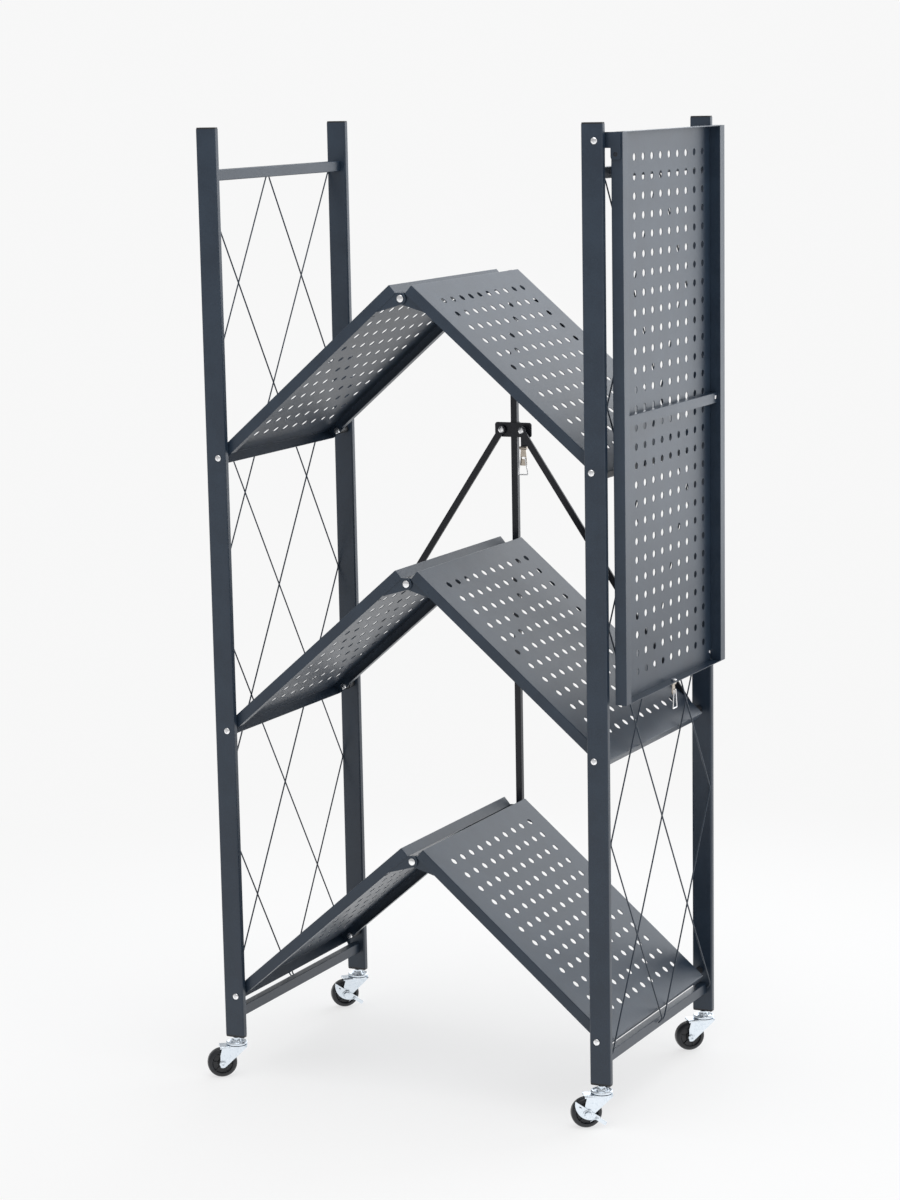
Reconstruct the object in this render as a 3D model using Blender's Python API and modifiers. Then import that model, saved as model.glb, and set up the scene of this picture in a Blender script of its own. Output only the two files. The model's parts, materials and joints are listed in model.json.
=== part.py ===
"""Folding storage rack on casters, half folded, with its top panel hanging outside the right frame."""
import math

import bmesh
import bpy
from mathutils import Matrix, Vector

# Driving dimensions, metres. X runs across the rack from the left frame's outer face,
# Y runs back from the front uprights' front face, Z runs up from the floor.
upright_width = 0.028
upright_depth = 0.010
upright_length = 1.200
tube_wall = 0.001
frame_depth = 0.365
floor_to_upright = 0.057
fit_gap = 0.0003

rail_width = 0.012
rail_height = 0.014
rail_inset = 0.008
top_rail_top = floor_to_upright + 1.1482
bottom_rail_top = floor_to_upright + 0.0373
wire_radius = 0.001
wire_inset = 0.0014
wire_layer = 0.00015

# Shelves: the side pivot is the origin of a half shelf, s runs towards the apex.
pivot_inset = 0.018
pivot_rises = {"lower": 0.0548, "middle": 0.4188, "upper": 0.780}
pivot_heights = {level: floor_to_upright + rise for level, rise in pivot_rises.items()}
fold_angle = math.radians(40.6)
apex_reach = 0.335
apex_drop = 0.013
pan_top = 0.010
pan_depth = 0.014
pan_front = 0.0115
pan_rear = frame_depth - 0.0335
pan_outer_end = -0.0113
pan_inner_end = apex_reach - 0.0008
sheet = 0.0008
end_bend = 0.002
lip_width = 0.008

gusset_length = 0.036
gusset_thickness = 0.0016
gusset_lobe = 0.0075

bolt_radius = 0.003
bolt_hole = 0.0034
bolt_head = 0.0043
bolt_head_height = 0.0022
nut_radius = 0.005
round_sides = 16

# Link rod, collar and braces behind the shelves.
rod_width = 0.009
rod_front = frame_depth - 0.0198
rod_depth = 0.008
rod_overrun = 0.014
rod_pin_radius = 0.002
collar_height = 0.020
collar_plate_width = 0.054
collar_bolt_offset = 0.016
collar_front = rod_front - 0.0018
collar_plate = 0.0014
brace_length = 0.444
brace_width = 0.009
brace_layers = {
    "left": (collar_front - 0.0044, collar_front - 0.0010),
    "right": (collar_front - 0.0096, collar_front - 0.0066),
}

# Top panel, measured from its hinge axis while it hangs.
hinge_inset = 0.0105
hinge_height = floor_to_upright + 1.180
panel_offset = 0.0165
panel_depth = 0.015
panel_length = 0.700
panel_rise = 0.010
panel_front = 0.0126
panel_edge = 0.0124

# Casters.
caster_trail = 0.0203
caster_turn = {
    "left_front": math.radians(35),
    "right_front": math.radians(34),
    "left_rear": math.radians(40),
    "right_rear": math.radians(39),
}
wheel_radius = 0.020
wheel_half_width = 0.008
race_radius = 0.0145
race_height = 0.0485
fork_top = 0.0437
hood_reach = 0.0235
axle_radius = 0.003
brake_radius = 0.0217
brake_rise = 0.0057
brake_sagitta = 0.013
brake_angle = math.radians(34.7)

slate = (0.052, 0.062, 0.080)
zinc = (0.72, 0.74, 0.76)
nickel = (0.66, 0.63, 0.58)
tyre_black = (0.015, 0.015, 0.017)

pivot_line = math.hypot(apex_reach, apex_drop)
pivot_angle = fold_angle - math.atan2(apex_drop, apex_reach)
half_span = pivot_line * math.cos(pivot_angle)
apex_rise = pivot_line * math.sin(pivot_angle)
rack_width = 2 * (pivot_inset + half_span)
brace_angle = math.asin((half_span - collar_bolt_offset) / brace_length)
collar_rise = brace_length * math.cos(brace_angle)

for leftover in list(bpy.data.objects):
    bpy.data.objects.remove(leftover, do_unlink=True)

parts = bpy.data.collections.new("folding_storage_rack")
bpy.context.scene.collection.children.link(parts)


def new_object(name, mesh):
    """Link a mesh as an object in the parts collection."""
    obj = bpy.data.objects.new(name, mesh)
    parts.objects.link(obj)
    return obj


def empty(name, parent, location, turn=0.0):
    """Joint or group centre, turned about Y."""
    obj = bpy.data.objects.new(name, None)
    obj.empty_display_size = 0.02
    parts.objects.link(obj)
    obj.parent = parent
    obj.location = location
    obj.rotation_euler = (0.0, turn, 0.0)
    return obj


def block(name, corner, other):
    """Box between two opposite corners given in any order."""
    low = Vector(min(a, b) for a, b in zip(corner, other))
    high = Vector(max(a, b) for a, b in zip(corner, other))
    size = high - low
    mesh = bpy.data.meshes.new(name)
    cage = bmesh.new()
    stretch = Matrix.Diagonal((size.x, size.y, size.z, 1.0))
    bmesh.ops.create_cube(cage, size=1.0, matrix=Matrix.Translation((low + high) / 2) @ stretch)
    cage.to_mesh(mesh)
    cage.free()
    return new_object(name, mesh)


def drum(name, centre, radius, length, axis="Y", sides=round_sides):
    """Cylinder along one axis, a flat at its lowest point."""
    turns = {"X": Matrix.Rotation(math.pi / 2, 4, "Y"), "Y": Matrix.Rotation(math.pi / 2, 4, "X"), "Z": Matrix()}
    mesh = bpy.data.meshes.new(name)
    cage = bmesh.new()
    half_step = Matrix.Rotation(math.pi / sides, 4, "Z")
    bmesh.ops.create_cone(cage, cap_ends=True, segments=sides, radius1=radius, radius2=radius, depth=length,
                          matrix=Matrix.Translation(centre) @ turns[axis] @ half_step)
    cage.to_mesh(mesh)
    cage.free()
    return new_object(name, mesh)


def y_drum(name, x, z, front, rear, radius, sides=round_sides):
    """Cylinder along Y between two depths."""
    return drum(name, (x, (front + rear) / 2, z), radius, rear - front, "Y", sides)


def combine(target, tools, operation):
    """Boolean each tool into the target and drop the tools."""
    for tool in tools:
        change = target.modifiers.new("combine", "BOOLEAN")
        change.operation = operation
        change.object = tool
        bpy.context.view_layer.update()
        evaluated = target.evaluated_get(bpy.context.evaluated_depsgraph_get())
        result = bpy.data.meshes.new_from_object(evaluated)
        target.modifiers.remove(change)
        target.data = result
        bpy.data.objects.remove(tool, do_unlink=True)
    return target


def fuse(target, *tools):
    """Union the tools into the target."""
    return combine(target, tools, "UNION")


def carve(target, *tools):
    """Cut the tools out of the target."""
    return combine(target, tools, "DIFFERENCE")


def arc(centre, radius, start, stop, steps=8):
    """Points on an arc in the XZ plane, angles in degrees."""
    angles = [math.radians(start + (stop - start) * i / steps) for i in range(steps + 1)]
    return [(centre[0] + radius * math.cos(a), centre[1] + radius * math.sin(a)) for a in angles]


def as_mesh(obj, turn=Matrix()):
    """Turn a curve object into a welded mesh object, with its mesh moved by a matrix."""
    bpy.context.view_layer.update()
    evaluated = obj.evaluated_get(bpy.context.evaluated_depsgraph_get())
    mesh = bpy.data.meshes.new_from_object(evaluated)
    name = obj.name
    bpy.data.objects.remove(obj, do_unlink=True)
    cage = bmesh.new()
    cage.from_mesh(mesh)
    bmesh.ops.remove_doubles(cage, verts=cage.verts, dist=0.00001)
    bmesh.ops.recalc_face_normals(cage, faces=cage.faces)
    cage.to_mesh(mesh)
    cage.free()
    mesh.transform(turn)
    return new_object(name, mesh)


def plate(name, outline, front, rear):
    """Flat plate in the XZ plane, extruded along Y between two depths."""
    curve = bpy.data.curves.new(name, "CURVE")
    curve.dimensions = "2D"
    curve.fill_mode = "BOTH"
    curve.extrude = (rear - front) / 2
    spline = curve.splines.new("POLY")
    spline.points.add(len(outline) - 1)
    for point, (x, z) in zip(spline.points, outline):
        point.co = (x, z, 0.0, 1.0)
    spline.use_cyclic_u = True
    turn = Matrix.Translation((0.0, (front + rear) / 2, 0.0)) @ Matrix.Rotation(math.pi / 2, 4, "X")
    return as_mesh(new_object(name, curve), turn)


def wire(name, points, radius, resolution=1):
    """Round wire through points, with closed ends."""
    curve = bpy.data.curves.new(name, "CURVE")
    curve.dimensions = "3D"
    curve.bevel_depth = radius
    curve.bevel_resolution = resolution
    curve.use_fill_caps = True
    spline = curve.splines.new("POLY")
    spline.points.add(len(points) - 1)
    for point, place in zip(spline.points, points):
        point.co = (*place, 1.0)
    return as_mesh(new_object(name, curve))


def turned(name, profile, x, z, sides=round_sides):
    """Body turned about a Y axis from (depth, radius) steps, running front to back."""
    mesh = bpy.data.meshes.new(name)
    points = [(radius, 0.0, -depth) for depth, radius in profile]
    mesh.from_pydata(points, [(i, i + 1) for i in range(len(points) - 1)], [])
    obj = new_object(name, mesh)
    screw = obj.modifiers.new("turn", "SCREW")
    screw.steps = sides
    screw.render_steps = sides
    screw.use_merge_vertices = True
    screw.merge_threshold = 0.00001
    obj.location = (x, 0.0, z)
    obj.rotation_euler = (math.pi / 2, 0.0, 0.0)
    return obj


def stepped(*sections):
    """Profile of (front, rear, radius) sections that follow each other, closed on the axis."""
    profile = [(sections[0][0], 0.0)]
    for front, rear, radius in sections:
        profile += [(front, radius), (rear, radius)]
    profile.append((sections[-1][1], 0.0))
    return profile


def finish(obj, parent, colour, roughness, metallic, smooth=False):
    """Parent a finished piece and give it its own material."""
    obj.parent = parent
    material = bpy.data.materials.new(obj.name + "_finish")
    material.use_nodes = True
    shader = material.node_tree.nodes["Principled BSDF"]
    shader.inputs["Base Color"].default_value = (*colour, 1.0)
    shader.inputs["Roughness"].default_value = roughness
    shader.inputs["Metallic"].default_value = metallic
    obj.data.materials.clear()
    obj.data.materials.append(material)
    if smooth:
        obj.data.shade_smooth()
        obj.data.set_sharp_from_angle(angle=math.radians(35))
    return obj


def painted(obj, parent):
    """Slate powder coat."""
    return finish(obj, parent, slate, 0.45, 0.35)


def plated(obj, parent):
    """Bright zinc plating."""
    return finish(obj, parent, zinc, 0.3, 0.9, smooth=True)


root = empty("rack_root", None, (0.0, 0.0, 0.0))
sides = {"left": 1, "right": -1}
middle_height = pivot_heights["middle"]
frames = {
    "left": empty("left_frame_pivot", root, (pivot_inset, 0.0, middle_height)),
    "right": empty("right_frame_pivot", root, (rack_width - pivot_inset, 0.0, middle_height)),
}


def frame_x(side, inset):
    """Local x of a place measured in from the frame's outer face."""
    return sides[side] * (inset - pivot_inset)


def frame_block(name, side, insets, depths, heights):
    """Box in a side frame's own space."""
    corner = (frame_x(side, insets[0]), depths[0], heights[0] - middle_height)
    other = (frame_x(side, insets[1]), depths[1], heights[1] - middle_height)
    return block(name, corner, other)


def upright(side, place):
    """Flat-oval steel upright, open at both ends, bored for its pivot bolts."""
    front = 0.0 if place == "front" else frame_depth - upright_depth
    rear = front + upright_depth
    top = floor_to_upright + upright_length
    body = frame_block(f"{side}_{place}_upright", side, (0.0, upright_width), (front, rear), (floor_to_upright, top))
    inner = (tube_wall, upright_width - tube_wall)
    hollow = frame_block("hollow", side, inner, (front + tube_wall, rear - tube_wall), (0.0, 2 * top))
    carve(body, hollow)
    bores = [(pivot_inset, height) for height in pivot_heights.values()]
    if side == "right":
        bores.append((hinge_inset, hinge_height))
    for inset, height in bores:
        centre = (frame_x(side, inset), height - middle_height)
        carve(body, y_drum("bore", *centre, front - 0.01, rear + 0.01, bolt_hole))
    return painted(body, frames[side])


def rail(side, name, top):
    """Rectangular cross tube between the two uprights of a frame."""
    depths = (upright_depth + fit_gap, frame_depth - upright_depth - fit_gap)
    insets = (rail_inset, rail_inset + rail_width)
    body = frame_block(f"{side}_{name}_rail", side, insets, depths, (top - rail_height, top))
    inner = (insets[0] + tube_wall, insets[1] - tube_wall)
    heights = (top - rail_height + tube_wall, top - tube_wall)
    carve(body, frame_block("hollow", side, inner, (0.0, frame_depth), heights))
    if side == "left" and name == "top":
        middle = frame_depth / 2
        hook = frame_block("hook", side, (0.0040, 0.0084), (middle - 0.007, middle + 0.007), (top - 0.0052, top - 0.0038))
        lip = frame_block("lip", side, (0.0040, 0.0052), (middle - 0.007, middle + 0.007), (top - 0.0066, top - 0.0042))
        fuse(body, hook, lip)
    return painted(body, frames[side])


def lattice():
    """Four wires that zigzag between the rails and uprights, welded where they cross; one mirrored copy."""
    reach = 1.25 * wire_radius + fit_gap
    front = upright_depth + reach
    rear = frame_depth - upright_depth - reach
    top = top_rail_top - rail_height
    bottom = bottom_rail_top
    near, far = 0.49, 0.51
    routes = [
        [(far, 0.0), (1.0, 0.25), (0.0, 0.75), (near, 1.0)],
        [(near, 0.0), (0.0, 0.25), (1.0, 0.75), (far, 1.0)],
        [(1.0, 0.0), (0.0, 0.5), (1.0, 1.0)],
        [(0.0, 0.0), (1.0, 0.5), (0.0, 1.0)],
    ]
    end_inset = rail_inset - reach
    end_overlap = 0.006
    wires = []
    for layer, route in enumerate(routes):
        inset = wire_inset + (layer - 1.5) * wire_layer
        points = [(inset, front + (rear - front) * u, top + (bottom - top) * v) for u, v in route]
        first = (end_inset, points[0][1], top + end_overlap)
        last = (end_inset, points[-1][1], bottom - end_overlap)
        points = [first] + points + [last]
        local = [(frame_x("left", x), y, z - middle_height) for x, y, z in points]
        wires.append(wire("strand", local, wire_radius))
    body = wires[0]
    body.name = "left_lattice"
    fuse(body, *wires[1:])
    mirrored = body.data.copy()
    mirrored.transform(Matrix.Diagonal((-1.0, 1.0, 1.0, 1.0)))
    mirrored.flip_normals()
    finish(body, frames["left"], slate, 0.45, 0.35, smooth=True)
    finish(new_object("right_lattice", mirrored), frames["right"], slate, 0.45, 0.35, smooth=True)


def pivot_bolt(side, place, level):
    """Pivot bolt of a half shelf, with its washers, spacer and inner nut."""
    inner = pan_front + sheet if place == "front" else pan_rear - sheet
    if place == "front":
        outer = upright_depth
        sections = [
            (-fit_gap - bolt_head_height, -fit_gap, bolt_head),
            (-fit_gap, outer + fit_gap, bolt_radius),
            (outer + fit_gap, pan_front - fit_gap, 0.0065),
            (pan_front - fit_gap, inner + fit_gap, bolt_radius),
            (inner + fit_gap, inner + fit_gap + 0.003, nut_radius),
        ]
    else:
        outer = frame_depth - upright_depth
        spacers = [(pan_rear + fit_gap, outer - fit_gap)]
        if level == "middle":
            low, high = brace_layers[side]
            spacers = [(pan_rear + fit_gap, low - fit_gap), (high + fit_gap, outer - fit_gap)]
        sections = [(inner - fit_gap - 0.003, inner - fit_gap, nut_radius)]
        depth = inner - fit_gap
        for start, stop in spacers:
            sections += [(depth, start, bolt_radius), (start, stop, 0.005)]
            depth = stop
        sections += [(depth, frame_depth + fit_gap, bolt_radius)]
        sections += [(frame_depth + fit_gap, frame_depth + fit_gap + bolt_head_height, bolt_head)]
    height = pivot_heights[level] - middle_height
    bolt = turned(f"{side}_{place}_{level}_bolt", stepped(*sections), 0.0, height)
    return plated(bolt, frames[side])


def shelf_pivot(side, level):
    """Joint centre of a half shelf, turned to the fold angle."""
    out = sides[side]
    height = pivot_heights[level]
    if side == "right" and level == "middle":
        place = (rack_width / 2, 0.0, height + apex_rise)
        return empty("middle_right_apex", root, place, fold_angle)
    location = (0.0, 0.0, height - middle_height)
    return empty(f"{level}_{side}_pivot", frames[side], location, -out * fold_angle)


def half_shelf(side, level, pivot):
    """Folded sheet pan with webs, lips, end flanges and two apex gussets."""
    out = sides[side]
    at_apex = side == "right" and level == "middle"
    shift_s = apex_reach if at_apex else 0.0
    shift_z = -apex_drop if at_apex else 0.0

    def piece(s_range, depths, z_range):
        corners = [(out * (s - shift_s), y, z - shift_z) for s, y, z in zip(s_range, depths, z_range)]
        return block("fold", *corners)

    bottom = pan_top - pan_depth
    length = (pan_outer_end, pan_inner_end)
    lip_run = (0.012, pan_inner_end - gusset_length - 0.006)
    body = piece(length, (pan_front, pan_rear), (bottom, pan_top))
    body.name = f"{level}_{side}_shelf"
    inside = (pan_front + sheet, pan_rear - sheet)
    below = (bottom - 0.01, bottom + sheet + 0.0001)
    bend = [(pan_outer_end - 0.001, pan_top - end_bend - 0.001), (pan_outer_end + end_bend + 0.001, pan_top + 0.001)]
    bend.append((pan_outer_end - 0.001, pan_top + 0.001))
    near, far, ceiling = pan_outer_end + sheet, pan_inner_end - sheet, pan_top - sheet
    inner_bend = end_bend - (2 - math.sqrt(2)) * sheet
    hollow = [(near, bottom + sheet), (far, bottom + sheet), (far, ceiling), (near + inner_bend, ceiling)]
    hollow.append((near, ceiling - inner_bend))
    carve(
        body,
        plate("bend", [(out * (s - shift_s), z - shift_z) for s, z in bend], 0.0, frame_depth),
        plate("hollow", [(out * (s - shift_s), z - shift_z) for s, z in hollow], *inside),
        piece((pan_outer_end + sheet, lip_run[0]), inside, below),
        piece((lip_run[1], pan_inner_end - sheet), inside, below),
        piece(lip_run, (pan_front + lip_width, pan_rear - lip_width), below),
    )
    layer = sheet - 0.0002 if side == "left" else sheet + gusset_thickness + 2 * fit_gap
    outline = gusset_outline(out, shift_s, shift_z)
    for front, web, flip in ((pan_front, pan_front + sheet, 1), (pan_rear, pan_rear - sheet, -1)):
        near = front + flip * layer
        far = near + flip * gusset_thickness
        fuse(body, plate("gusset", outline, min(near, far), max(near, far)))
        if side == "right":
            run = (pan_inner_end - gusset_length + 0.001, pan_inner_end - 0.012)
            fuse(body, piece(run, (web - flip * 0.0003, far - flip * 0.0002), (bottom + 0.0006, bottom + 0.0036)))
    for depth in (pan_front, pan_rear):
        carve(body, y_drum("bore", -out * shift_s, -shift_z, depth - 0.005, depth + 0.005, bolt_hole))
        pin_x = out * (apex_reach - shift_s)
        carve(body, y_drum("bore", pin_x, -apex_drop - shift_z, depth - 0.008, depth + 0.008, bolt_hole))
    return painted(body, pivot)


def gusset_outline(out, shift_s, shift_z):
    """Tapered plate under the web with a round lobe about the apex pin."""
    bottom = pan_top - pan_depth
    start = pan_inner_end - gusset_length
    lobe = arc((apex_reach, -apex_drop), gusset_lobe, -115, 75, 10)
    points = [(start, bottom + 0.004), (start, bottom - 0.0005)] + lobe + [(pan_inner_end - 0.004, bottom + 0.004)]
    return [(out * (s - shift_s), z - shift_z) for s, z in points]


def apex_pin(level, place, pivot):
    """Zinc pin through both gussets, the rear one carried on to the link rod."""
    thick = 2 * gusset_thickness + 3 * fit_gap
    if place == "front":
        web = pan_front + sheet
        sections = [
            (web - 0.0024, web - fit_gap, 0.0048),
            (web - fit_gap, web + thick + fit_gap, bolt_radius),
            (web + thick + fit_gap, web + thick + 0.002, 0.0045),
        ]
    else:
        web = pan_rear - sheet
        sections = [
            (web - thick - 0.0024, web - thick - fit_gap, 0.0048),
            (web - thick - fit_gap, pan_rear + fit_gap, bolt_radius),
            (pan_rear + fit_gap, rod_front - fit_gap, 0.0042),
            (rod_front - fit_gap, rod_front + rod_depth + 0.0005, rod_pin_radius),
        ]
    pin = turned(f"{level}_apex_{place}_pin", stepped(*sections), apex_reach, -apex_drop)
    return plated(pin, pivot)


def link_rod(pivot):
    """Bar behind the shelves that joins the three rear apex pins."""
    low = pivot_heights["lower"] - middle_height
    high = pivot_heights["upper"] - middle_height
    half = rod_width / 2
    rear = rod_front + rod_depth
    body = block("link_rod", (-half, rod_front, low - rod_overrun), (half, rear, high + rod_overrun))
    for height in (low, 0.0, high):
        carve(body, y_drum("bore", 0.0, height, rod_front - 0.002, rear + 0.002, rod_pin_radius + fit_gap))
    return painted(body, pivot)


def collar(pivot):
    """Sleeve on the link rod with a wide front plate and a tab for the latch."""
    half = collar_height / 2
    side = rod_width / 2 + fit_gap
    rear = rod_front + rod_depth
    body = block("collar", (-side - 0.0014, collar_front, -half), (side + 0.0014, rear + 0.0014, half))
    width = collar_plate_width / 2
    back = collar_front + collar_plate
    corner = 0.004
    outline = []
    for x, z, start in ((1, 1, 0), (-1, 1, 90), (-1, -1, 180), (1, -1, 270)):
        outline += arc((x * (width - corner), z * (half - corner)), corner, start, start + 90, 3)
    fuse(body, plate("plate", outline, collar_front, back))
    fuse(body, block("tab", (0.011, collar_front, -half + 0.002), (0.021, back, -half - 0.016)))
    carve(body, block("bore", (-side, rod_front - fit_gap, -1.0), (side, rear + fit_gap, 1.0)))
    return painted(body, pivot)


def brace(side, pivot):
    """Flat bar from the middle rear pivot bolt up to the collar, with its upper bolt."""
    front, rear = brace_layers[side]
    half = brace_width / 2
    foot = arc((0.0, 0.0), half + 0.0015, 150, 390, 10)
    head = arc((0.0, brace_length), half + 0.0015, -30, 210, 10)
    body = plate(f"{side}_brace", foot + head, front, rear)
    carve(body, y_drum("bore", 0.0, 0.0, front - 0.002, rear + 0.002, bolt_hole))
    tail = collar_front - fit_gap if side == "left" else rear + 0.0002
    fuse(
        body,
        y_drum("shank", 0.0, brace_length, front - 0.0005, tail, 0.0025),
        y_drum("head", 0.0, brace_length, front - 0.0016, front + 0.0005, 0.0042),
    )
    return painted(body, pivot)


def top_panel(pivot):
    """Perforated pan, here without its holes, with boxed long edges and a cross stiffener."""
    inner_x = panel_offset + panel_depth
    top = panel_rise
    bottom = panel_rise - panel_length
    rear_face = frame_depth - panel_front

    def piece(xs, depths, zs):
        return block("fold", (xs[0], depths[0], zs[0]), (xs[1], depths[1], zs[1]))

    body = piece((panel_offset, inner_x), (panel_front, rear_face), (bottom, top))
    body.name = "top_panel"
    between = (panel_front + panel_edge, rear_face - panel_edge)
    carve(
        body,
        piece((panel_offset + sheet, inner_x + 0.01), between, (bottom + sheet, top - sheet)),
        piece((panel_offset + sheet, inner_x - sheet), (panel_front + sheet, between[0] - sheet), (bottom - 1, top + 1)),
        piece((panel_offset + sheet, inner_x - sheet), (between[1] + sheet, rear_face - sheet), (bottom - 1, top + 1)),
    )
    middle = (top + bottom) / 2
    stiff_x = panel_offset + 0.010
    run = (between[0] - 0.0004, between[1] + 0.0004)
    channel = piece((panel_offset + 0.0004, stiff_x), run, (middle - 0.0065, middle + 0.0065))
    carve(channel, piece((panel_offset, stiff_x - sheet), (0.0, 1.0), (middle - 0.0100, middle + 0.0056)))
    fuse(body, channel)
    relief = [(inner_x + 0.001, 0.0025), (inner_x + 0.001, top + 0.001), (inner_x - 0.0021, top + 0.001)]
    carve(body, plate("relief", relief + [(inner_x - 0.0001, 0.0028)], 0.0, frame_depth))
    return painted(body, pivot)


def hinge_bracket(place, pivot):
    """Angle plate riveted to the panel, with the hinge bolt that it turns on."""
    if place == "front":
        near, far = upright_depth + 2 * fit_gap, panel_front - fit_gap
        shank = (-fit_gap, near + 0.0005)
        head = (-fit_gap - bolt_head_height, -fit_gap)
        rivet = (near - 0.0003, near + 0.0004)
    else:
        near, far = frame_depth - panel_front + fit_gap, frame_depth - upright_depth - 2 * fit_gap
        shank = (far - 0.0005, frame_depth + fit_gap)
        head = (frame_depth + fit_gap, frame_depth + fit_gap + bolt_head_height)
        rivet = (far - 0.0004, far + 0.0003)
    reach = panel_offset + panel_depth - 0.002
    lower_leg = -0.023
    outline = arc((0.0, 0.0), 0.009, 180, 270, 4) + [(reach - 0.013, -0.009), (reach - 0.013, lower_leg + 0.004)]
    outline += arc((reach - 0.009, lower_leg + 0.004), 0.004, 180, 270, 3)
    outline += arc((reach - 0.004, lower_leg + 0.004), 0.004, 270, 360, 3)
    outline += [(reach, panel_rise - 0.002), (reach - 0.002, panel_rise), (-0.006, panel_rise), (-0.009, 0.007)]
    body = plate(f"{place}_hinge_bracket", outline, near, far)
    fuse(
        body,
        y_drum("shank", 0.0, 0.0, *shank, bolt_radius),
        y_drum("head", 0.0, 0.0, head[0], head[1] + 0.0, bolt_head),
        y_drum("rivet", reach - 0.0065, lower_leg + 0.0065, *rivet, 0.003),
    )
    return painted(body, pivot)


bail_standoff = 0.0019


def latch(name, pivot, bail_pivot, lever_length, flat):
    """Toggle latch: a lever plate and the wire bail that hangs on it."""
    half = 0.0055
    thin = 0.0012
    lever = block(f"{name}_lever", (-half, -thin / 2, 0.0), (half, thin / 2, -lever_length))
    fuse(lever, drum("barrel", (0.0, 0.0, 0.0), 0.0022, 2 * half, "X", 10))
    if flat:
        lever.data.transform(Matrix.Rotation(math.pi / 2, 4, "Z"))
    finish(lever, pivot, nickel, 0.35, 0.9)
    loop = [(-0.0035, 0.0, 0.0), (-0.0035, 0.0, -0.003), (-0.007, 0.0, -0.024), (0.007, 0.0, -0.024),
            (0.0035, 0.0, -0.003), (0.0035, 0.0, 0.0)]
    bail = wire(f"{name}_bail", loop, 0.0009, 2)
    if flat:
        bail.data.transform(Matrix.Rotation(math.pi / 2, 4, "Z"))
    return finish(bail, bail_pivot, zinc, 0.25, 0.9, smooth=True)


def caster(side, place, braked):
    """Swivel caster: plugged stem with its race, fork with axle, wheel, and brake pedal on two of them."""
    name = f"{side}_{place}"
    middle_y = upright_depth / 2 if place == "front" else frame_depth - upright_depth / 2
    centre = (frame_x(side, upright_width / 2), middle_y, -middle_height)
    swivel = empty(f"{name}_swivel", frames[side], centre)
    swivel.rotation_euler = (0.0, 0.0, caster_turn[name])
    caster_stem(side, name, centre)
    caster_fork(name, swivel, braked)
    axle = empty(f"{name}_axle", swivel, (-caster_trail, 0.0, wheel_radius))
    caster_wheel(name, axle)
    if braked:
        brake_pedal(name, axle)


def caster_stem(side, name, centre):
    """Plastic plug in the upright's foot, threaded stem and upper race."""
    half_width = upright_width / 2
    half_depth = upright_depth / 2
    slack = tube_wall + fit_gap
    foot = floor_to_upright - fit_gap
    body = block(f"{name}_caster_stem", (-half_width, -half_depth, foot - 0.003), (half_width, half_depth, foot))
    inner_x, inner_y = half_width - slack, half_depth - slack
    fuse(
        body,
        block("plug", (-inner_x, -inner_y, foot - 0.001), (inner_x, inner_y, foot + 0.018)),
        drum("stem", (0.0, 0.0, foot - 0.005), 0.0045, 0.008, "Z"),
        drum("race", (0.0, 0.0, race_height - 0.0022), race_radius, 0.0044, "Z", 24),
    )
    body.location = centre
    return finish(body, frames[side], zinc, 0.3, 0.9, smooth=True)


def caster_fork(name, swivel, braked):
    """Pressed fork: a round top plate, two tapered legs and the axle bolt."""
    leg_inner = wheel_half_width + 0.0007
    leg_outer = leg_inner + 0.0015
    plate_thick = 0.0022
    body = drum(f"{name}_fork", (0.0, 0.0, fork_top - plate_thick / 2), race_radius - 0.0005, plate_thick, "Z", 24)
    eye = arc((-caster_trail, wheel_radius), 0.006, 172, 318, 8)
    shoulder = race_radius - 0.0015
    outline = [(-hood_reach + 0.0035, fork_top - 0.0005)] + eye
    outline += [(shoulder - 0.004, fork_top - 0.0045), (shoulder, fork_top - 0.0022), (shoulder, fork_top - 0.0005)]
    hood_under = fork_top - plate_thick + 0.0003
    fuse(
        body,
        plate("leg", outline, -leg_outer, -leg_inner),
        plate("leg", outline, leg_inner, leg_outer),
        block("hood", (-hood_reach, -leg_outer + 0.0002, hood_under), (0.006, leg_outer - 0.0002, fork_top - 0.0003)),
    )
    front = leg_outer + (0.0024 if braked else 0.0)
    fuse(
        body,
        y_drum("axle", -caster_trail, wheel_radius, -front - 0.001, leg_outer + 0.001, axle_radius),
        y_drum("nut", -caster_trail, wheel_radius, -front - 0.0026, -front, 0.0045, 6),
        y_drum("head", -caster_trail, wheel_radius, leg_outer - 0.0005, leg_outer + 0.002, 0.0045),
    )
    return plated(body, swivel)


def caster_wheel(name, axle):
    """Rounded tread on a hub, bored for the axle."""
    tread = 0.004
    half = wheel_half_width
    profile = [(-half, 0.0), (-half, 0.0105), (-half + 0.0012, 0.0115), (-half + 0.0012, wheel_radius - tread - 0.001)]
    profile += [(-half + 0.0004, wheel_radius - tread), (-half + tread, wheel_radius)]
    profile += [(-depth, radius) for depth, radius in reversed(profile)]
    body = turned(f"{name}_wheel", profile, 0.0, 0.0, 32)
    bpy.context.view_layer.update()
    evaluated = body.evaluated_get(bpy.context.evaluated_depsgraph_get())
    mesh = bpy.data.meshes.new_from_object(evaluated)
    body.modifiers.clear()
    body.rotation_euler = (0.0, 0.0, 0.0)
    mesh.transform(Matrix.Rotation(math.pi / 32, 4, "Y") @ Matrix.Rotation(math.pi / 2, 4, "X"))
    body.data = mesh
    carve(body, y_drum("bore", 0.0, 0.0, -0.02, 0.02, axle_radius + fit_gap))
    return finish(body, axle, tyre_black, 0.55, 0.0, smooth=True)


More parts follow.
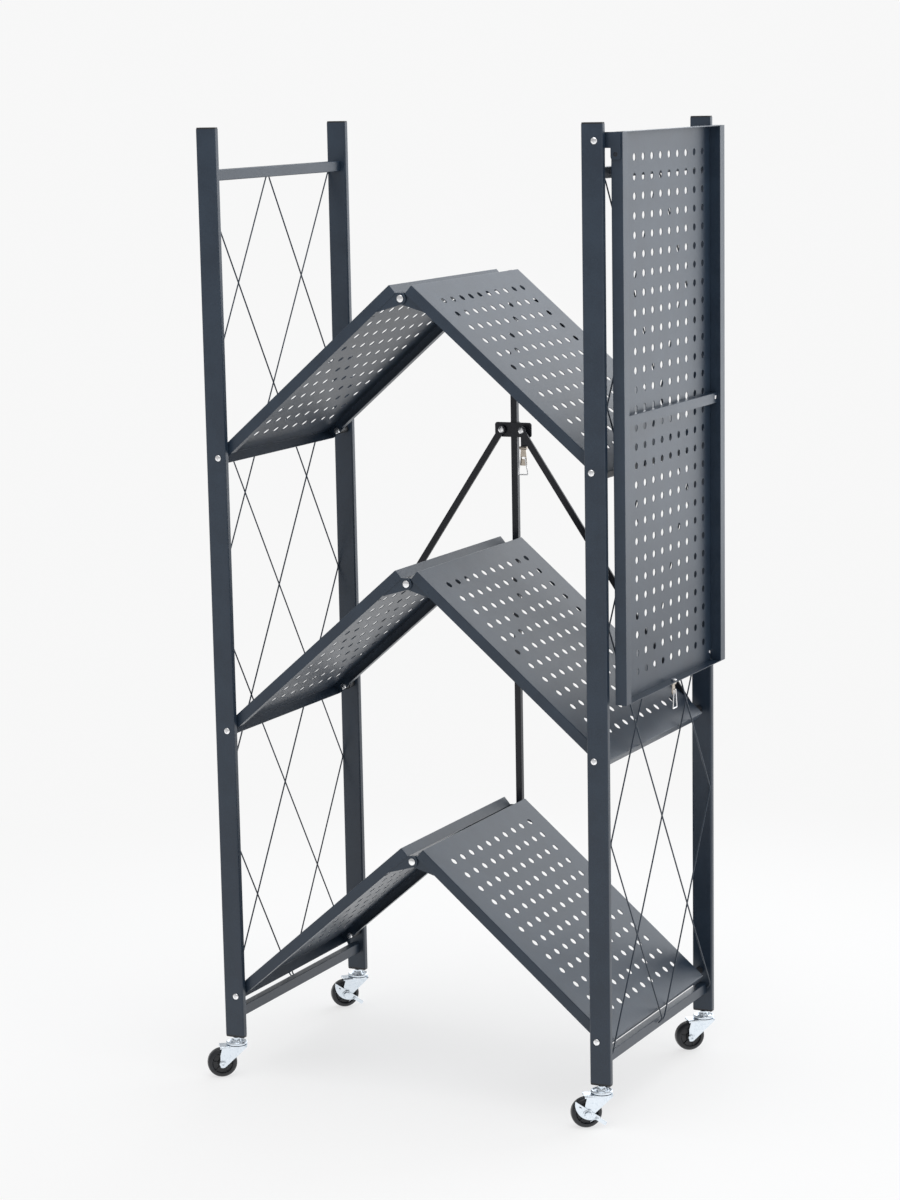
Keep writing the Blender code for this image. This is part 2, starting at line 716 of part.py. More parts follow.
def brake_pedal(name, axle):
    """Lens-shaped brake plate on the axle with a lever tab."""
    face = -(wheel_half_width + 0.0007 + 0.0015 + fit_gap)
    front = face - 0.0015
    drop = brake_sagitta - brake_rise
    centre = (-0.0033, brake_radius - drop)
    spread = math.degrees(math.acos((brake_radius - brake_sagitta) / brake_radius))
    segment = arc(centre, brake_radius, 270 - spread, 270 + spread, 14)
    body = plate(f"{name}_brake", segment, front, face)
    tab = block("tab", (0.010, front, brake_rise - 0.0062), (0.0275, face, brake_rise - 0.0012))
    carve(body, y_drum("bore", 0.0, 0.0, front - 0.001, face + 0.001, axle_radius + fit_gap))
    fuse(body, tab)
    body.data.transform(Matrix.Rotation(brake_angle, 4, "Y"))
    return plated(body, axle)


def stand_on_floor():
    """Move the root so that the rack's box is centred on the origin with its wheels at zero."""
    bpy.context.view_layer.update()
    graph = bpy.context.evaluated_depsgraph_get()
    corners = []
    for obj in parts.objects:
        if obj.type == "MESH":
            evaluated = obj.evaluated_get(graph)
            corners += [obj.matrix_world @ Vector(corner) for corner in evaluated.bound_box]
    low = [min(corner[i] for corner in corners) for i in range(3)]
    high = [max(corner[i] for corner in corners) for i in range(3)]
    root.location = (-(low[0] + high[0]) / 2, -(low[1] + high[1]) / 2, -low[2])


for side_name in sides:
    for place_name in ("front", "rear"):
        upright(side_name, place_name)
        for level_name in pivot_heights:
            pivot_bolt(side_name, place_name, level_name)
    rail(side_name, "top", top_rail_top)
    rail(side_name, "bottom", bottom_rail_top)
lattice()

for level_name in pivot_heights:
    for side_name in sides:
        shelf_centre = shelf_pivot(side_name, level_name)
        half_shelf(side_name, level_name, shelf_centre)
        if side_name == "left":
            apex_pin(level_name, "front", shelf_centre)
            apex_pin(level_name, "rear", shelf_centre)

apex_centre = empty("rod_pivot", root, (rack_width / 2, 0.0, middle_height + apex_rise))
link_rod(apex_centre)
collar_centre = empty("collar_slide", apex_centre, (0.0, 0.0, collar_rise - apex_rise))
collar(collar_centre)
for side_name, out_sign in sides.items():
    brace(side_name, empty(f"{side_name}_brace_pivot", frames[side_name], (0.0, 0.0, 0.0), out_sign * brace_angle))

collar_lever_pivot = empty("collar_lever_pivot", collar_centre, (0.016, collar_front - 0.0026, -0.024))
collar_bail_pivot = empty("collar_bail_pivot", collar_lever_pivot, (0.0, -bail_standoff, -0.012))
latch("collar_latch", collar_lever_pivot, collar_bail_pivot, 0.024, False)

hinge_centre = empty("panel_hinge", frames["right"], (-frame_x("right", hinge_inset) * -1, 0.0, hinge_height - middle_height))
top_panel(hinge_centre)
hinge_bracket("front", hinge_centre)
hinge_bracket("rear", hinge_centre)
panel_end = panel_rise - panel_length
latch_place = (panel_offset + panel_depth / 2 + 0.0015, frame_depth / 2, panel_end - 0.0026)
panel_lever_pivot = empty("panel_lever_pivot", hinge_centre, latch_place)
panel_bail_pivot = empty("panel_bail_pivot", panel_lever_pivot, (bail_standoff, 0.0, -0.008))
latch("panel_latch", panel_lever_pivot, panel_bail_pivot, 0.014, True)

for side_name in sides:
    for place_name in ("front", "rear"):
        caster(side_name, place_name, (side_name, place_name) in (("right", "front"), ("left", "rear")))

stand_on_floor()
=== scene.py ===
import math

import bmesh
import bpy
from mathutils import Matrix, Vector
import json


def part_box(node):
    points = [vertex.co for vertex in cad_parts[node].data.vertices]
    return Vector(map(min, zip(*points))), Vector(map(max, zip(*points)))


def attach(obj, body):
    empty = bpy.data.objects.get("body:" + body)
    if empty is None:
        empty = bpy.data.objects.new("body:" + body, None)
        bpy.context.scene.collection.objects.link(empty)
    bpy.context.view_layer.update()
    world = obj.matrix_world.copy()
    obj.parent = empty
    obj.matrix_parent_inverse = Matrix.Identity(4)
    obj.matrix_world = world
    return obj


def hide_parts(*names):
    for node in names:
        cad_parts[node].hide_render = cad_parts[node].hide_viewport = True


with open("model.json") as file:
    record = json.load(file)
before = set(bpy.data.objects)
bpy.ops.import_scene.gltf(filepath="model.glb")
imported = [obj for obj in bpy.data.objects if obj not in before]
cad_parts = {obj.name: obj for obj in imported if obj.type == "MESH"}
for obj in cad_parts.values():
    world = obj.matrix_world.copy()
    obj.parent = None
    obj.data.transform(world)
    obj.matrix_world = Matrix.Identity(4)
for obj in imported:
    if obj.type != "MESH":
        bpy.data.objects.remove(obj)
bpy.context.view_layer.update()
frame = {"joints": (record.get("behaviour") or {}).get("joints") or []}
jointPlace = {row["name"]: Vector(row["pos_m"]) for row in frame["joints"] if "pos_m" in row}

sideSign = {"left": 1, "right": -1}
levels = ("upper", "middle", "lower")
foldBody = {"left": "left_frame", "right": "right_frame"}

# Measures that several pieces share; panFront and panRear count from the front uprights' front face
layout = {"fitGap": 0.0003, "postDepth": 0.010, "panFront": 0.0115, "panRear": 0.3315, "footHeight": 0.057}
gap = layout["fitGap"]
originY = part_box("left_front_upright")[0].y
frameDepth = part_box("left_rear_upright")[1].y - originY


def assign(target, **values):
    for key, value in values.items():
        setattr(target, key, value)
    return target


def feed(tree, node, entries):
    # an entry is a plain value, or a node and its output to link from
    for entry, value in entries.items():
        if isinstance(value, tuple) and isinstance(value[0], bpy.types.Node):
            tree.links.new(value[0].outputs[value[1]], node.inputs[entry])
        else:
            node.inputs[entry].default_value = value
    return node


def addNode(tree, kind, entries={}, **settings):
    return feed(tree, assign(tree.nodes.new("ShaderNode" + kind), **settings), entries)


# Camera and stage

viewPoint = {
    "place": (1.78915, -3.70947, 1.32048),
    "turn": (78.64337, 1.23431, 26.73902),
    "lens": 94.725,
    "shiftX": 0.04417,
    "shiftY": 0.09,
}


def addCamera():
    turn = [math.radians(angle) for angle in viewPoint["turn"]]
    bpy.ops.object.camera_add(location=viewPoint["place"], rotation=turn)
    eye = bpy.context.active_object
    eye.name = "photoView"
    assign(eye.data, sensor_fit="AUTO", sensor_width=36, lens=viewPoint["lens"], clip_end=100)
    assign(eye.data, shift_x=viewPoint["shiftX"], shift_y=viewPoint["shiftY"])
    eye.data.dof.use_dof = False
    bpy.context.scene.camera = eye


studio = {
    "backdrop": 0.935,
    "worldLevel": 0.50,
    "floorRadius": 9,
    "floorDrop": 0.0002,
    "floorTone": 0.36,
    "floorGlow": 0.655,
    # extra floor glow that only reflections see: a painted reflection on the rack's undersides and zinc
    "floorPaintedReflection": 0.20,
    "fadeFrom": 0.55,
    "fadeTo": 1.7,
}
softboxes = {
    "overhead": {"place": (0.3, -0.6, 3.2), "aim": (0, 0, 0.5), "size": (2.4, 2.4), "power": 32},
    "rear": {
        "place": (0.5, 3.4, 1.7), "aim": (0, 0, 0.7), "size": (5.0, 3.4), "power": 84,
        "tint": (0.91, 0.95, 1.0),
    },
    "right": {"place": (3.0, -0.4, 1.5), "aim": (0, 0, 0.6), "size": (1.4, 2.2), "power": 8},
}


def setWorld():
    bpy.context.scene.view_settings.view_transform = "Standard"
    world = bpy.data.worlds.new("softStudio")
    bpy.context.scene.world = world
    world.use_nodes = True
    tree = world.node_tree
    tree.nodes.clear()
    white = (1, 1, 1, 1)
    path = addNode(tree, "LightPath")
    rays = {0: (path, "Is Camera Ray"), 1: (path, "Is Transmission Ray")}
    seen = addNode(tree, "Math", rays, operation="MAXIMUM")
    plain = addNode(tree, "Background", {"Color": white, "Strength": studio["worldLevel"]})
    shown = addNode(tree, "Background", {"Color": white, "Strength": studio["backdrop"]})
    mix = addNode(tree, "MixShader", {"Fac": (seen, 0), 1: (plain, 0), 2: (shown, 0)})
    addNode(tree, "OutputWorld", {"Surface": (mix, 0)})


def addFloor():
    # the lit floor fades into the backdrop colour away from the rack, and keeps the rack's shadow near it
    radius, place = studio["floorRadius"], (0, 0, -studio["floorDrop"])
    bpy.ops.mesh.primitive_circle_add(vertices=64, radius=radius, fill_type="NGON", location=place)
    floor = bpy.context.active_object
    bpy.ops.object.transform_apply(location=True, rotation=True, scale=True)
    floor.name = "studioFloor"
    paint = bpy.data.materials.new("studioFloor")
    paint.use_nodes = True
    tree = paint.node_tree
    tree.nodes.clear()
    path = addNode(tree, "LightPath")
    lit = addNode(tree, "BsdfDiffuse", {"Color": [studio["floorTone"]] * 3 + [1]})
    # in glossy rays the floor glows brighter than the camera sees it: a painted reflection that lightens the
    # rack's undersides and zinc parts
    glowAndPaintedReflectionInputs = {0: (path, "Is Glossy Ray"), 1: studio["floorPaintedReflection"], 2: studio["floorGlow"]}
    glowAndPaintedReflection = addNode(tree, "Math", glowAndPaintedReflectionInputs, operation="MULTIPLY_ADD")
    glow = addNode(tree, "Emission", {"Strength": (glowAndPaintedReflection, 0)})
    near = addNode(tree, "AddShader", {0: (lit, 0), 1: (glow, 0)})
    rays = {0: (path, "Is Camera Ray"), 1: (path, "Is Glossy Ray")}
    shown = addNode(tree, "Math", rays, operation="MAXIMUM")
    nearSeen = addNode(tree, "MixShader", {"Fac": (shown, 0), 1: (lit, 0), 2: (near, 0)})
    far = addNode(tree, "Emission", {"Strength": studio["backdrop"]})
    where = addNode(tree, "TexCoord")
    reach = addNode(tree, "VectorMath", {0: (where, "Object")}, operation="LENGTH")
    edge = {"From Min": studio["fadeFrom"], "From Max": studio["fadeTo"], "Value": (reach, "Value")}
    fade = addNode(tree, "MapRange", edge, interpolation_type="SMOOTHSTEP")
    mix = addNode(tree, "MixShader", {"Fac": (fade, "Result"), 1: (nearSeen, 0), 2: (far, 0)})
    addNode(tree, "OutputMaterial", {"Surface": (mix, 0)})
    floor.data.materials.append(paint)


def addSoftbox(name, place, aim, size, power, tint=(1, 1, 1)):
    bpy.ops.object.light_add(type="AREA", location=place)
    lamp = bpy.context.active_object
    assign(lamp.data, shape="RECTANGLE", size=size[0], size_y=size[1], energy=power, color=tint)
    turn = (Vector(aim) - Vector(place)).to_track_quat("-Z", "Y").to_euler()
    assign(lamp, name=f"{name}Softbox", visible_camera=False, rotation_euler=turn)


addCamera()
setWorld()
addFloor()
for name, values in softboxes.items():
    addSoftbox(name, **values)
print("camera, backdrop and soft lights are set")


# Workbench: what every piece is made with

hair = 0.00002  # what still counts as the same place
lap = 0.0002  # how far welded or tightened parts reach into each other


def slide(x, y, z):
    return Matrix.Translation((x, y, z))


def spin(degrees, axis):
    return Matrix.Rotation(math.radians(degrees), 4, axis)


def alone(item):
    bpy.ops.object.select_all(action="DESELECT")
    item.select_set(True)
    bpy.context.view_layer.objects.active = item
    return item


def pickAll():
    bpy.ops.mesh.select_all(action="SELECT")


def openMesh(item):
    alone(item)
    bpy.ops.object.mode_set(mode="EDIT")
    pickAll()


def closeMesh():
    bpy.ops.object.mode_set(mode="OBJECT")


def settle(item, name=None):
    # leave the object at the origin with its place in its mesh
    alone(item)
    bpy.ops.object.transform_apply(location=True, rotation=True, scale=True)
    if name:
        item.name = name
        item.data.name = name
    return item


def moved(item, turn, name=None):
    item.matrix_world = turn @ item.matrix_world
    return settle(item, name)


def twin(item, name, turn=Matrix()):
    alone(item)
    bpy.ops.object.duplicate(linked=False)
    return moved(bpy.context.active_object, turn, name)


def scrap(*items):
    for item in items:
        bpy.data.objects.remove(item, do_unlink=True)


def joined(name, *items):
    # several bodies of one piece, kept as separate shells of one mesh
    alone(items[0])
    for item in items[1:]:
        item.select_set(True)
    bpy.ops.object.join()
    return assign(bpy.context.active_object, name=name)


def pick(item, kind, test):
    # in edit mode, select the faces or edges that pass a test of place or normal
    bpy.ops.mesh.select_mode(type=kind)
    bpy.ops.mesh.select_all(action="DESELECT")
    cage = bmesh.from_edit_mesh(item.data)
    for part in cage.faces if kind == "FACE" else cage.edges:
        if test(part):
            part.select_set(True)
    bmesh.update_edit_mesh(item.data)


def onLine(axis, value):
    return lambda edge: all(abs(v.co[axis] - value) < hair for v in edge.verts)


def onAny(edge, *lines):
    return any(onLine(axis, value)(edge) for axis, value in lines)


def alongAxis(axis, where=None):
    # edges that run along one axis, all of them or those at some places
    def test(edge):
        run = edge.verts[1].co - edge.verts[0].co
        return abs(run[axis]) > 0.999 * run.length and (where is None or where(edge.verts[0].co))
    return test


def looks(axis, *signs):
    # faces that look along one axis, one way or both
    return lambda face: any(sign * face.normal[axis] > 0.9 for sign in signs)


def push(shift):
    bpy.ops.mesh.extrude_region_move(TRANSFORM_OT_translate={"value": shift})


def roundOff(item, test, width, segments):
    pick(item, "EDGE", test)
    bpy.ops.mesh.bevel(offset=width, segments=segments, affect="EDGES")


def roundEdges(item, test, width, segments):
    openMesh(item)
    roundOff(item, test, width, segments)
    closeMesh()
    return item


def insetFaces(item, test, thickness):
    pick(item, "FACE", test)
    bpy.ops.mesh.inset(thickness=thickness)


def dropFaces(item, test):
    pick(item, "FACE", test)
    bpy.ops.mesh.delete(type="FACE")


def outward():
    pickAll()
    bpy.ops.mesh.normals_make_consistent(inside=False)


def newShape(maker, name, scale=(1, 1, 1), **values):
    maker(**values)
    return settle(assign(bpy.context.active_object, scale=scale), name)


def addBlock(name, low, high):
    centre = [(a + b) / 2 for a, b in zip(low, high)]
    scale = [abs(b - a) for a, b in zip(low, high)]
    return newShape(bpy.ops.mesh.primitive_cube_add, name, scale, size=1, location=centre)


def roundedBlock(name, low, high, axis, radius, segments):
    # block with its four edges along one axis rounded
    return roundEdges(addBlock(name, low, high), alongAxis(axis), radius, segments)


def addDisc(name, centre, radius, length, axis="Y", sides=24):
    # round bar along one axis
    turn = {"X": (0, math.pi / 2, 0), "Y": (math.pi / 2, 0, 0), "Z": (0, 0, 0)}[axis]
    return newShape(
        bpy.ops.mesh.primitive_cylinder_add, name,
        vertices=sides, radius=radius, depth=length, location=centre, rotation=turn,
    )


def applyModifier(item, kind, **values):
    change = assign(item.modifiers.new("change", kind), **values)
    alone(item)
    bpy.ops.object.modifier_apply(modifier=change.name)
    return item


def combine(item, operation, *tools):
    for tool in tools:
        applyModifier(item, "BOOLEAN", operation=operation, object=tool, solver="EXACT")
        scrap(tool)
    return item


def cutOut(item, *tools):
    return combine(item, "DIFFERENCE", *tools)


def drill(item, centre, radius, length=0.02, sides=24):
    # round hole along Y
    return cutOut(item, addDisc("bore", centre, radius, length, sides=sides))


def weldOn(item, *tools):
    return combine(item, "UNION", *tools)


def mergeClose(item, distance):
    # slivers that a cut leaves would hold back the bevels beside them
    openMesh(item)
    bpy.ops.mesh.remove_doubles(threshold=distance)
    bpy.ops.mesh.dissolve_degenerate(threshold=distance)
    closeMesh()
    return item


def softenEdges(item, width, segments=2, angle=40):
    mergeClose(item, 0.00003)
    applyModifier(
        item, "BEVEL", width=width, segments=segments, limit_method="ANGLE",
        angle_limit=math.radians(angle), use_clamp_overlap=True, miter_outer="MITER_ARC",
    )
    return mergeClose(item, 0.000002)


def giveWall(item, thickness):
    return applyModifier(item, "SOLIDIFY", thickness=thickness, offset=-1, use_even_offset=True)


def addTube(name, low, high, axis, radius, segments, wall):
    # rectangular tube along one axis, open at both ends
    tube = roundedBlock(name, low, high, axis, radius, segments)
    openMesh(tube)
    dropFaces(tube, looks(axis, 1, -1))
    closeMesh()
    return giveWall(tube, wall)


def smooth(item, angle=35):
    alone(item)
    bpy.ops.object.shade_smooth_by_angle(angle=math.radians(angle))
    # wide flats keep their own direction, so that only the rounded edges carry the gradient
    return applyModifier(item, "WEIGHTED_NORMAL", weight=90, keep_sharp=True)


def turnOnLathe(name, profile, sides=24, bored=False):
    # a ring that is extruded and scaled through (height, radius) steps along Z
    item = newShape(bpy.ops.mesh.primitive_circle_add, name, vertices=sides, radius=profile[0][1])
    moved(item, slide(0, 0, profile[0][0]))
    openMesh(item)
    bpy.ops.mesh.select_mode(type="EDGE")
    pickAll()
    for (lower, before), (upper, after) in zip(profile, profile[1:]):
        push((0, 0, upper - lower))
        if abs(after - before) > 0.000001:
            grow = after / before
            bpy.ops.transform.resize(value=(grow, grow, 1), center_override=(0, 0, upper))
    pick(item, "EDGE", lambda edge: edge.is_boundary)
    if bored:
        bpy.ops.mesh.bridge_edge_loops()
    else:
        bpy.ops.mesh.fill_holes(sides=0)
    outward()
    closeMesh()
    return item


def wrapPlate(name, *shapes):
    # the taut outline round several discs and blocks, as one plate
    plate = joined(name, *shapes)
    openMesh(plate)
    bpy.ops.mesh.convex_hull()
    bpy.ops.mesh.dissolve_limited(angle_limit=math.radians(0.5))
    outward()
    closeMesh()
    return plate


# Finishes


def newFinish(name):
    paint = bpy.data.materials.new(name)
    paint.use_nodes = True
    tree = paint.node_tree
    return paint, tree, tree.nodes["Principled BSDF"], addNode(tree, "TexCoord")


def addNoise(tree, where, scale, detail=3, roughness=0.5):
    entries = {"Scale": scale, "Detail": detail, "Roughness": roughness, "Vector": (where, "Object")}
    return addNode(tree, "TexNoise", entries)


def blendTones(tree, source, dark, light, shader):
    ramp = addNode(tree, "ValToRGB", {"Fac": (source, 0)})
    for stop, position, tone in zip(ramp.color_ramp.elements, (0.3, 0.7), (dark, light)):
        assign(stop, position=position, color=(*tone, 1))
    feed(tree, shader, {"Base Color": (ramp, "Color")})


def spreadRoughness(tree, source, low, high, shader):
    entries = {"From Min": 0.3, "From Max": 0.7, "To Min": low, "To Max": high, "Value": (source, 0)}
    feed(tree, shader, {"Roughness": (addNode(tree, "MapRange", entries), "Result")})


def addBump(tree, source, strength, distance, shader, under=None):
    bump = addNode(tree, "Bump", {"Strength": strength, "Distance": distance, "Height": (source, 0)})
    if under:
        feed(tree, bump, {"Normal": (under, "Normal")})
    feed(tree, shader, {"Normal": (bump, "Normal")})
    return bump


powderCoat = {
    "dark": (0.016, 0.030, 0.052),
    "light": (0.025, 0.044, 0.072),
    "mottle": 26,
    "grain": 900,
    "grainWeight": 1.1,
    "peel": 260,
    "roughness": (0.30, 0.42),
    "specular": 0.55,
    "blackDepth": (0.85, 0.53, 0.45),
    "blackSpecular": 0.40,
}


def coatedSteel(name, depth, specular):
    # textured powder coat: a slow drift of tone, fine grain and a slight orange peel
    paint, tree, shader, where = newFinish(name)
    drift = addNoise(tree, where, powderCoat["mottle"], 4, 0.55)
    grain = addNoise(tree, where, powderCoat["grain"], 2, 0.6)
    weight = powderCoat["grainWeight"]
    half = addNode(tree, "Math", {0: (grain, 0), 1: weight, 2: -weight / 2}, operation="MULTIPLY_ADD")
    both = addNode(tree, "Math", {0: (drift, 0), 1: (half, 0)}, operation="ADD", use_clamp=True)
    tones = [[a * b for a, b in zip(powderCoat[tone], depth)] for tone in ("dark", "light")]
    blendTones(tree, both, *tones, shader)
    spreadRoughness(tree, grain, *powderCoat["roughness"], shader)
    peel = addNoise(tree, where, powderCoat["peel"], 2)
    coarse = addBump(tree, peel, 0.10, 0.0006, shader)
    addBump(tree, grain, 0.22, 0.00012, shader, coarse)
    shader.inputs["Specular IOR Level"].default_value = specular
    return paint


def brightZinc(name, dark, light, low, high):
    # plated steel: cloudy crystals of tone, light brushing and a metal shine
    paint, tree, shader, where = newFinish(name)
    cloud = addNoise(tree, where, 160, 4, 0.6)
    crystal = addNode(tree, "TexVoronoi", {"Scale": 420, "Vector": (where, "Object")})
    both = addNode(tree, "Math", {0: (crystal, "Distance"), 1: 0.35, 2: (cloud, 0)}, operation="MULTIPLY_ADD")
    blendTones(tree, both, dark, light, shader)
    spreadRoughness(tree, cloud, low, high, shader)
    addBump(tree, addNoise(tree, where, 1500, 2), 0.08, 0.0001, shader)
    shader.inputs["Metallic"].default_value = 1
    return paint


def mouldedBlack(name, tone, low, high, grainScale, strength):
    # moulded plastic: a fine sparked grain and slightly uneven gloss
    paint, tree, shader, where = newFinish(name)
    cloud = addNoise(tree, where, 90)
    dark, light = ([value * depth for value in tone] for depth in (0.75, 1.3))
    blendTones(tree, cloud, dark, light, shader)
    spreadRoughness(tree, cloud, low, high, shader)
    addBump(tree, addNoise(tree, where, grainScale, 2, 0.6), strength, 0.0002, shader)
    return paint


slate = coatedSteel("slatePowderCoat", (1, 1, 1), powderCoat["specular"])
blackCoat = coatedSteel("blackPowderCoat", powderCoat["blackDepth"], powderCoat["blackSpecular"])
zinc = brightZinc("brightZinc", (0.58, 0.65, 0.72), (0.76, 0.82, 0.88), 0.26, 0.38)
boltZinc = brightZinc("boltZinc", (0.78, 0.79, 0.81), (0.92, 0.92, 0.93), 0.18, 0.32)
nickel = brightZinc("warmNickel", (0.30, 0.26, 0.22), (0.56, 0.50, 0.43), 0.20, 0.38)
blackPlastic = mouldedBlack("blackPlastic", (0.020, 0.021, 0.024), 0.38, 0.52, 1200, 0.15)
tyreBlack = mouldedBlack("tyreBlack", (0.016, 0.018, 0.023), 0.30, 0.48, 700, 0.12)
print("finishes are mixed")


def fit(item, paint, body, slot, *nodes):
    # give a finished piece its material and body, and hide the CAD nodes that it stands for
    item.data.materials.clear()
    item.data.materials.append(paint)
    settle(item)
    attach(item, body)
    if nodes:
        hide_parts(*nodes)


# Side frames: uprights, caps and rails

upright = {
    "cornerRadius": 0.0021,
    "wall": 0.001,
    "boreRadius": 0.0034,
    "capHeight": 0.0015,
    "capInset": 0.00035,
    "stubInset": 0.0009,
    "stubDepth": 0.008,
}


def levelJoint(side, level):
    # the side pivot of a half shelf
    if level == "middle":
        return "fold" if side == "left" else "right_frame_pivot"
    return f"{level}_{side}_pivot"


def makeUpright(side, place):
    node = f"{side}_{place}_upright"
    low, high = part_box(node)
    tube = addTube(node, low, high, 2, upright["cornerRadius"], 5, upright["wall"])
    middle = (low.y + high.y) / 2
    pivots = [levelJoint(side, level) for level in levels]
    if side == "right":
        pivots.append("panel_hinge")
    for pivot in pivots:
        spot = (jointPlace[pivot].x, middle, jointPlace[pivot].z)
        drill(tube, spot, upright["boreRadius"])
    fit(smooth(tube), slate, foldBody[side], "slate", node)
    makeCap(side, place, low, high)


def makeCap(side, place, low, high):
    inset = upright["capInset"]
    foot = (low.x + inset, low.y + inset, high.z)
    crown = (high.x - inset, high.y - inset, high.z + upright["capHeight"])
    cap = roundedBlock(f"{side}_{place}_cap", foot, crown, 2, upright["cornerRadius"] - inset, 4)
    openMesh(cap)
    insetFaces(cap, looks(2, -1), upright["stubInset"])
    push((0, 0, -upright["stubDepth"]))
    insetFaces(cap, looks(2, 1), 0.0007)
    bpy.ops.transform.translate(value=(0, 0, 0.0004))
    outward()
    closeMesh()
    fit(smooth(cap, 50), blackPlastic, foldBody[side], "wheel_black")


rail = {"cornerRadius": 0.0012, "wall": 0.001, "hookHalf": 0.007}


def makeRail(side, name):
    node = f"{side}_{name}_rail"
    low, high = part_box(node)
    hooked = side == "left" and name == "top"
    if hooked:
        # the box of this node holds the hook too, so the tube takes its width from the other side
        twinLow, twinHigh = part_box("right_top_rail")
        low = Vector((high.x - (twinHigh.x - twinLow.x), low.y, low.z))
    bar = addTube(node, low, high, 1, rail["cornerRadius"], 3, rail["wall"])
    if hooked:
        bar = joined(node, bar, makeRailHook(low, high))
    fit(smooth(bar), slate, foldBody[side], "slate", node)


def makeRailHook(low, high):
    # bent tab at the middle of the rail that takes the top panel's bail
    middle = (low.y + high.y) / 2
    near, far = middle - rail["hookHalf"], middle + rail["hookHalf"]
    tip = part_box("left_top_rail")[0].x
    hook = addBlock("hook", (tip, near, high.z - 0.0052), (low.x + 0.0006, far, high.z - 0.0038))
    weldOn(hook, addBlock("lip", (tip, near, high.z - 0.0066), (tip + 0.0012, far, high.z - 0.0042)))
    return softenEdges(hook, 0.0003)


for side in sideSign:
    for place in ("front", "rear"):
        makeUpright(side, place)
    for name in ("top", "bottom"):
        makeRail(side, name)
print("side frames are built")


# Wire lattice

lattice = {
    "wire": 0.001,
    "inset": 0.0014,
    "layer": 0.00015,
    "bendReach": 0.004,
    "bendOut": 0.0008,
    "endOverlap": 0.006,
}


def roundedRoute(points, reach):
    # swap each corner of a route for a short curve
    route = [points[0]]
    for before, corner, after in zip(points, points[1:], points[2:]):
        start = corner + (before - corner).normalized() * min(reach, (before - corner).length / 2)
        stop = corner + (after - corner).normalized() * min(reach, (after - corner).length / 2)
        for step in range(6):
            t = step / 5
            route.append(start * (1 - t) ** 2 + corner * 2 * t * (1 - t) + stop * t ** 2)
    route.append(points[-1])
    return route


def bendWire(name, points, radius):
    bpy.ops.object.add(type="CURVE")
    item = alone(bpy.context.active_object)
    assign(item.data, dimensions="3D", bevel_depth=radius, bevel_resolution=2, use_fill_caps=True)
    strand = item.data.splines.new("POLY")
    strand.points.add(len(points) - 1)
    for point, spot in zip(strand.points, points):
        point.co = (*spot, 1)
    bpy.ops.object.convert(target="MESH")
    item = bpy.context.active_object
    openMesh(item)
    bpy.ops.mesh.remove_doubles(threshold=0.00001)
    outward()
    closeMesh()
    return settle(item, name)


def makeLattice(side):
    # four strands, each a route of (across, down) corners in the opening between the uprights and rails
    sign = sideSign[side]
    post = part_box(f"{side}_front_upright")
    outer = post[0 if side == "left" else 1].x
    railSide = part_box("right_top_rail")[1].x if side == "right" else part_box("left_bottom_rail")[0].x
    reach = 1.25 * lattice["wire"] + gap
    front = post[1].y + reach
    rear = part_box(f"{side}_rear_upright")[0].y - reach
    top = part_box("right_top_rail")[0].z
    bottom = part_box(f"{side}_bottom_rail")[1].z
    near, far = 0.49, 0.51
    routes = (
        ((far, 0), (1, 0.25), (0, 0.75), (near, 1)),
        ((near, 0), (0, 0.25), (1, 0.75), (far, 1)),
        ((1, 0), (0, 0.5), (1, 1)),
        ((0, 0), (1, 0.5), (0, 1)),
    )
    strands = []
    for layer, route in enumerate(routes):
        x = outer + sign * (lattice["inset"] + (layer - 1.5) * lattice["layer"])
        corners = []
        for across, down in route:
            out = {0: -lattice["bendOut"], 1: lattice["bendOut"]}.get(across, 0) if 0 < down < 1 else 0
            corners.append(Vector((x, front + (rear - front) * across + out, top + (bottom - top) * down)))
        endX = railSide - sign * reach
        first = Vector((endX, corners[0].y, top + lattice["endOverlap"]))
        last = Vector((endX, corners[-1].y, bottom - lattice["endOverlap"]))
        points = roundedRoute([first, *corners, last], lattice["bendReach"])
        strands.append(bendWire("strand", points, lattice["wire"]))
    web = joined(f"{side}_lattice", *strands)
    fit(smooth(web, 50), slate, foldBody[side], "slate", f"{side}_lattice")


for side in sideSign:
    makeLattice(side)
print("wire lattices are bent")


# Perforated sheet, shared by the half shelves and the top panel


def repeatAlong(item, count, step):
    applyModifier(
        item, "ARRAY", count=count, use_relative_offset=False, use_constant_offset=True,
        constant_offset_displace=step,
    )


def perforatedSheet(name, spec, height):
    # one hole in its square of sheet, repeated both ways; returns the sheet, its two ends and its half width
    stepX, stepY = spec["pitch"]
    item = newShape(bpy.ops.mesh.primitive_plane_add, name, (stepX, stepY, 1), size=1)
    openMesh(item)
    bpy.ops.mesh.delete(type="ONLY_FACE")
    pickAll()
    bpy.ops.mesh.subdivide(number_cuts=3)
    bpy.ops.mesh.primitive_circle_add(vertices=16, radius=spec["holeRadius"], location=(0, 0, 0))
    pickAll()
    bpy.ops.mesh.bridge_edge_loops()
    closeMesh()
    repeatAlong(item, spec["rows"], [stepX, 0, 0])
    repeatAlong(item, spec["columns"], [0, stepY, 0])
    openMesh(item)
    bpy.ops.mesh.remove_doubles(threshold=0.00005)
    closeMesh()
    moved(item, slide(stepX / 2, -(spec["columns"] - 1) * stepY / 2, 0))
    start = spec["firstRow"] - stepX / 2
    moved(item, slide(start, 0, height))
    return item, start, start + spec["rows"] * stepX, spec["columns"] * stepY / 2


def pullBorder(item, axis, value, shift, test=None):
    # extrude the open edges that lie on one line
    line = onLine(axis, value)
    pick(item, "EDGE", lambda edge: edge.is_boundary and line(edge) and (test is None or test(edge)))
    push(shift)


# Half shelves, drawn flat: x runs from the side pivot to the apex, y across, the pan top at panTop

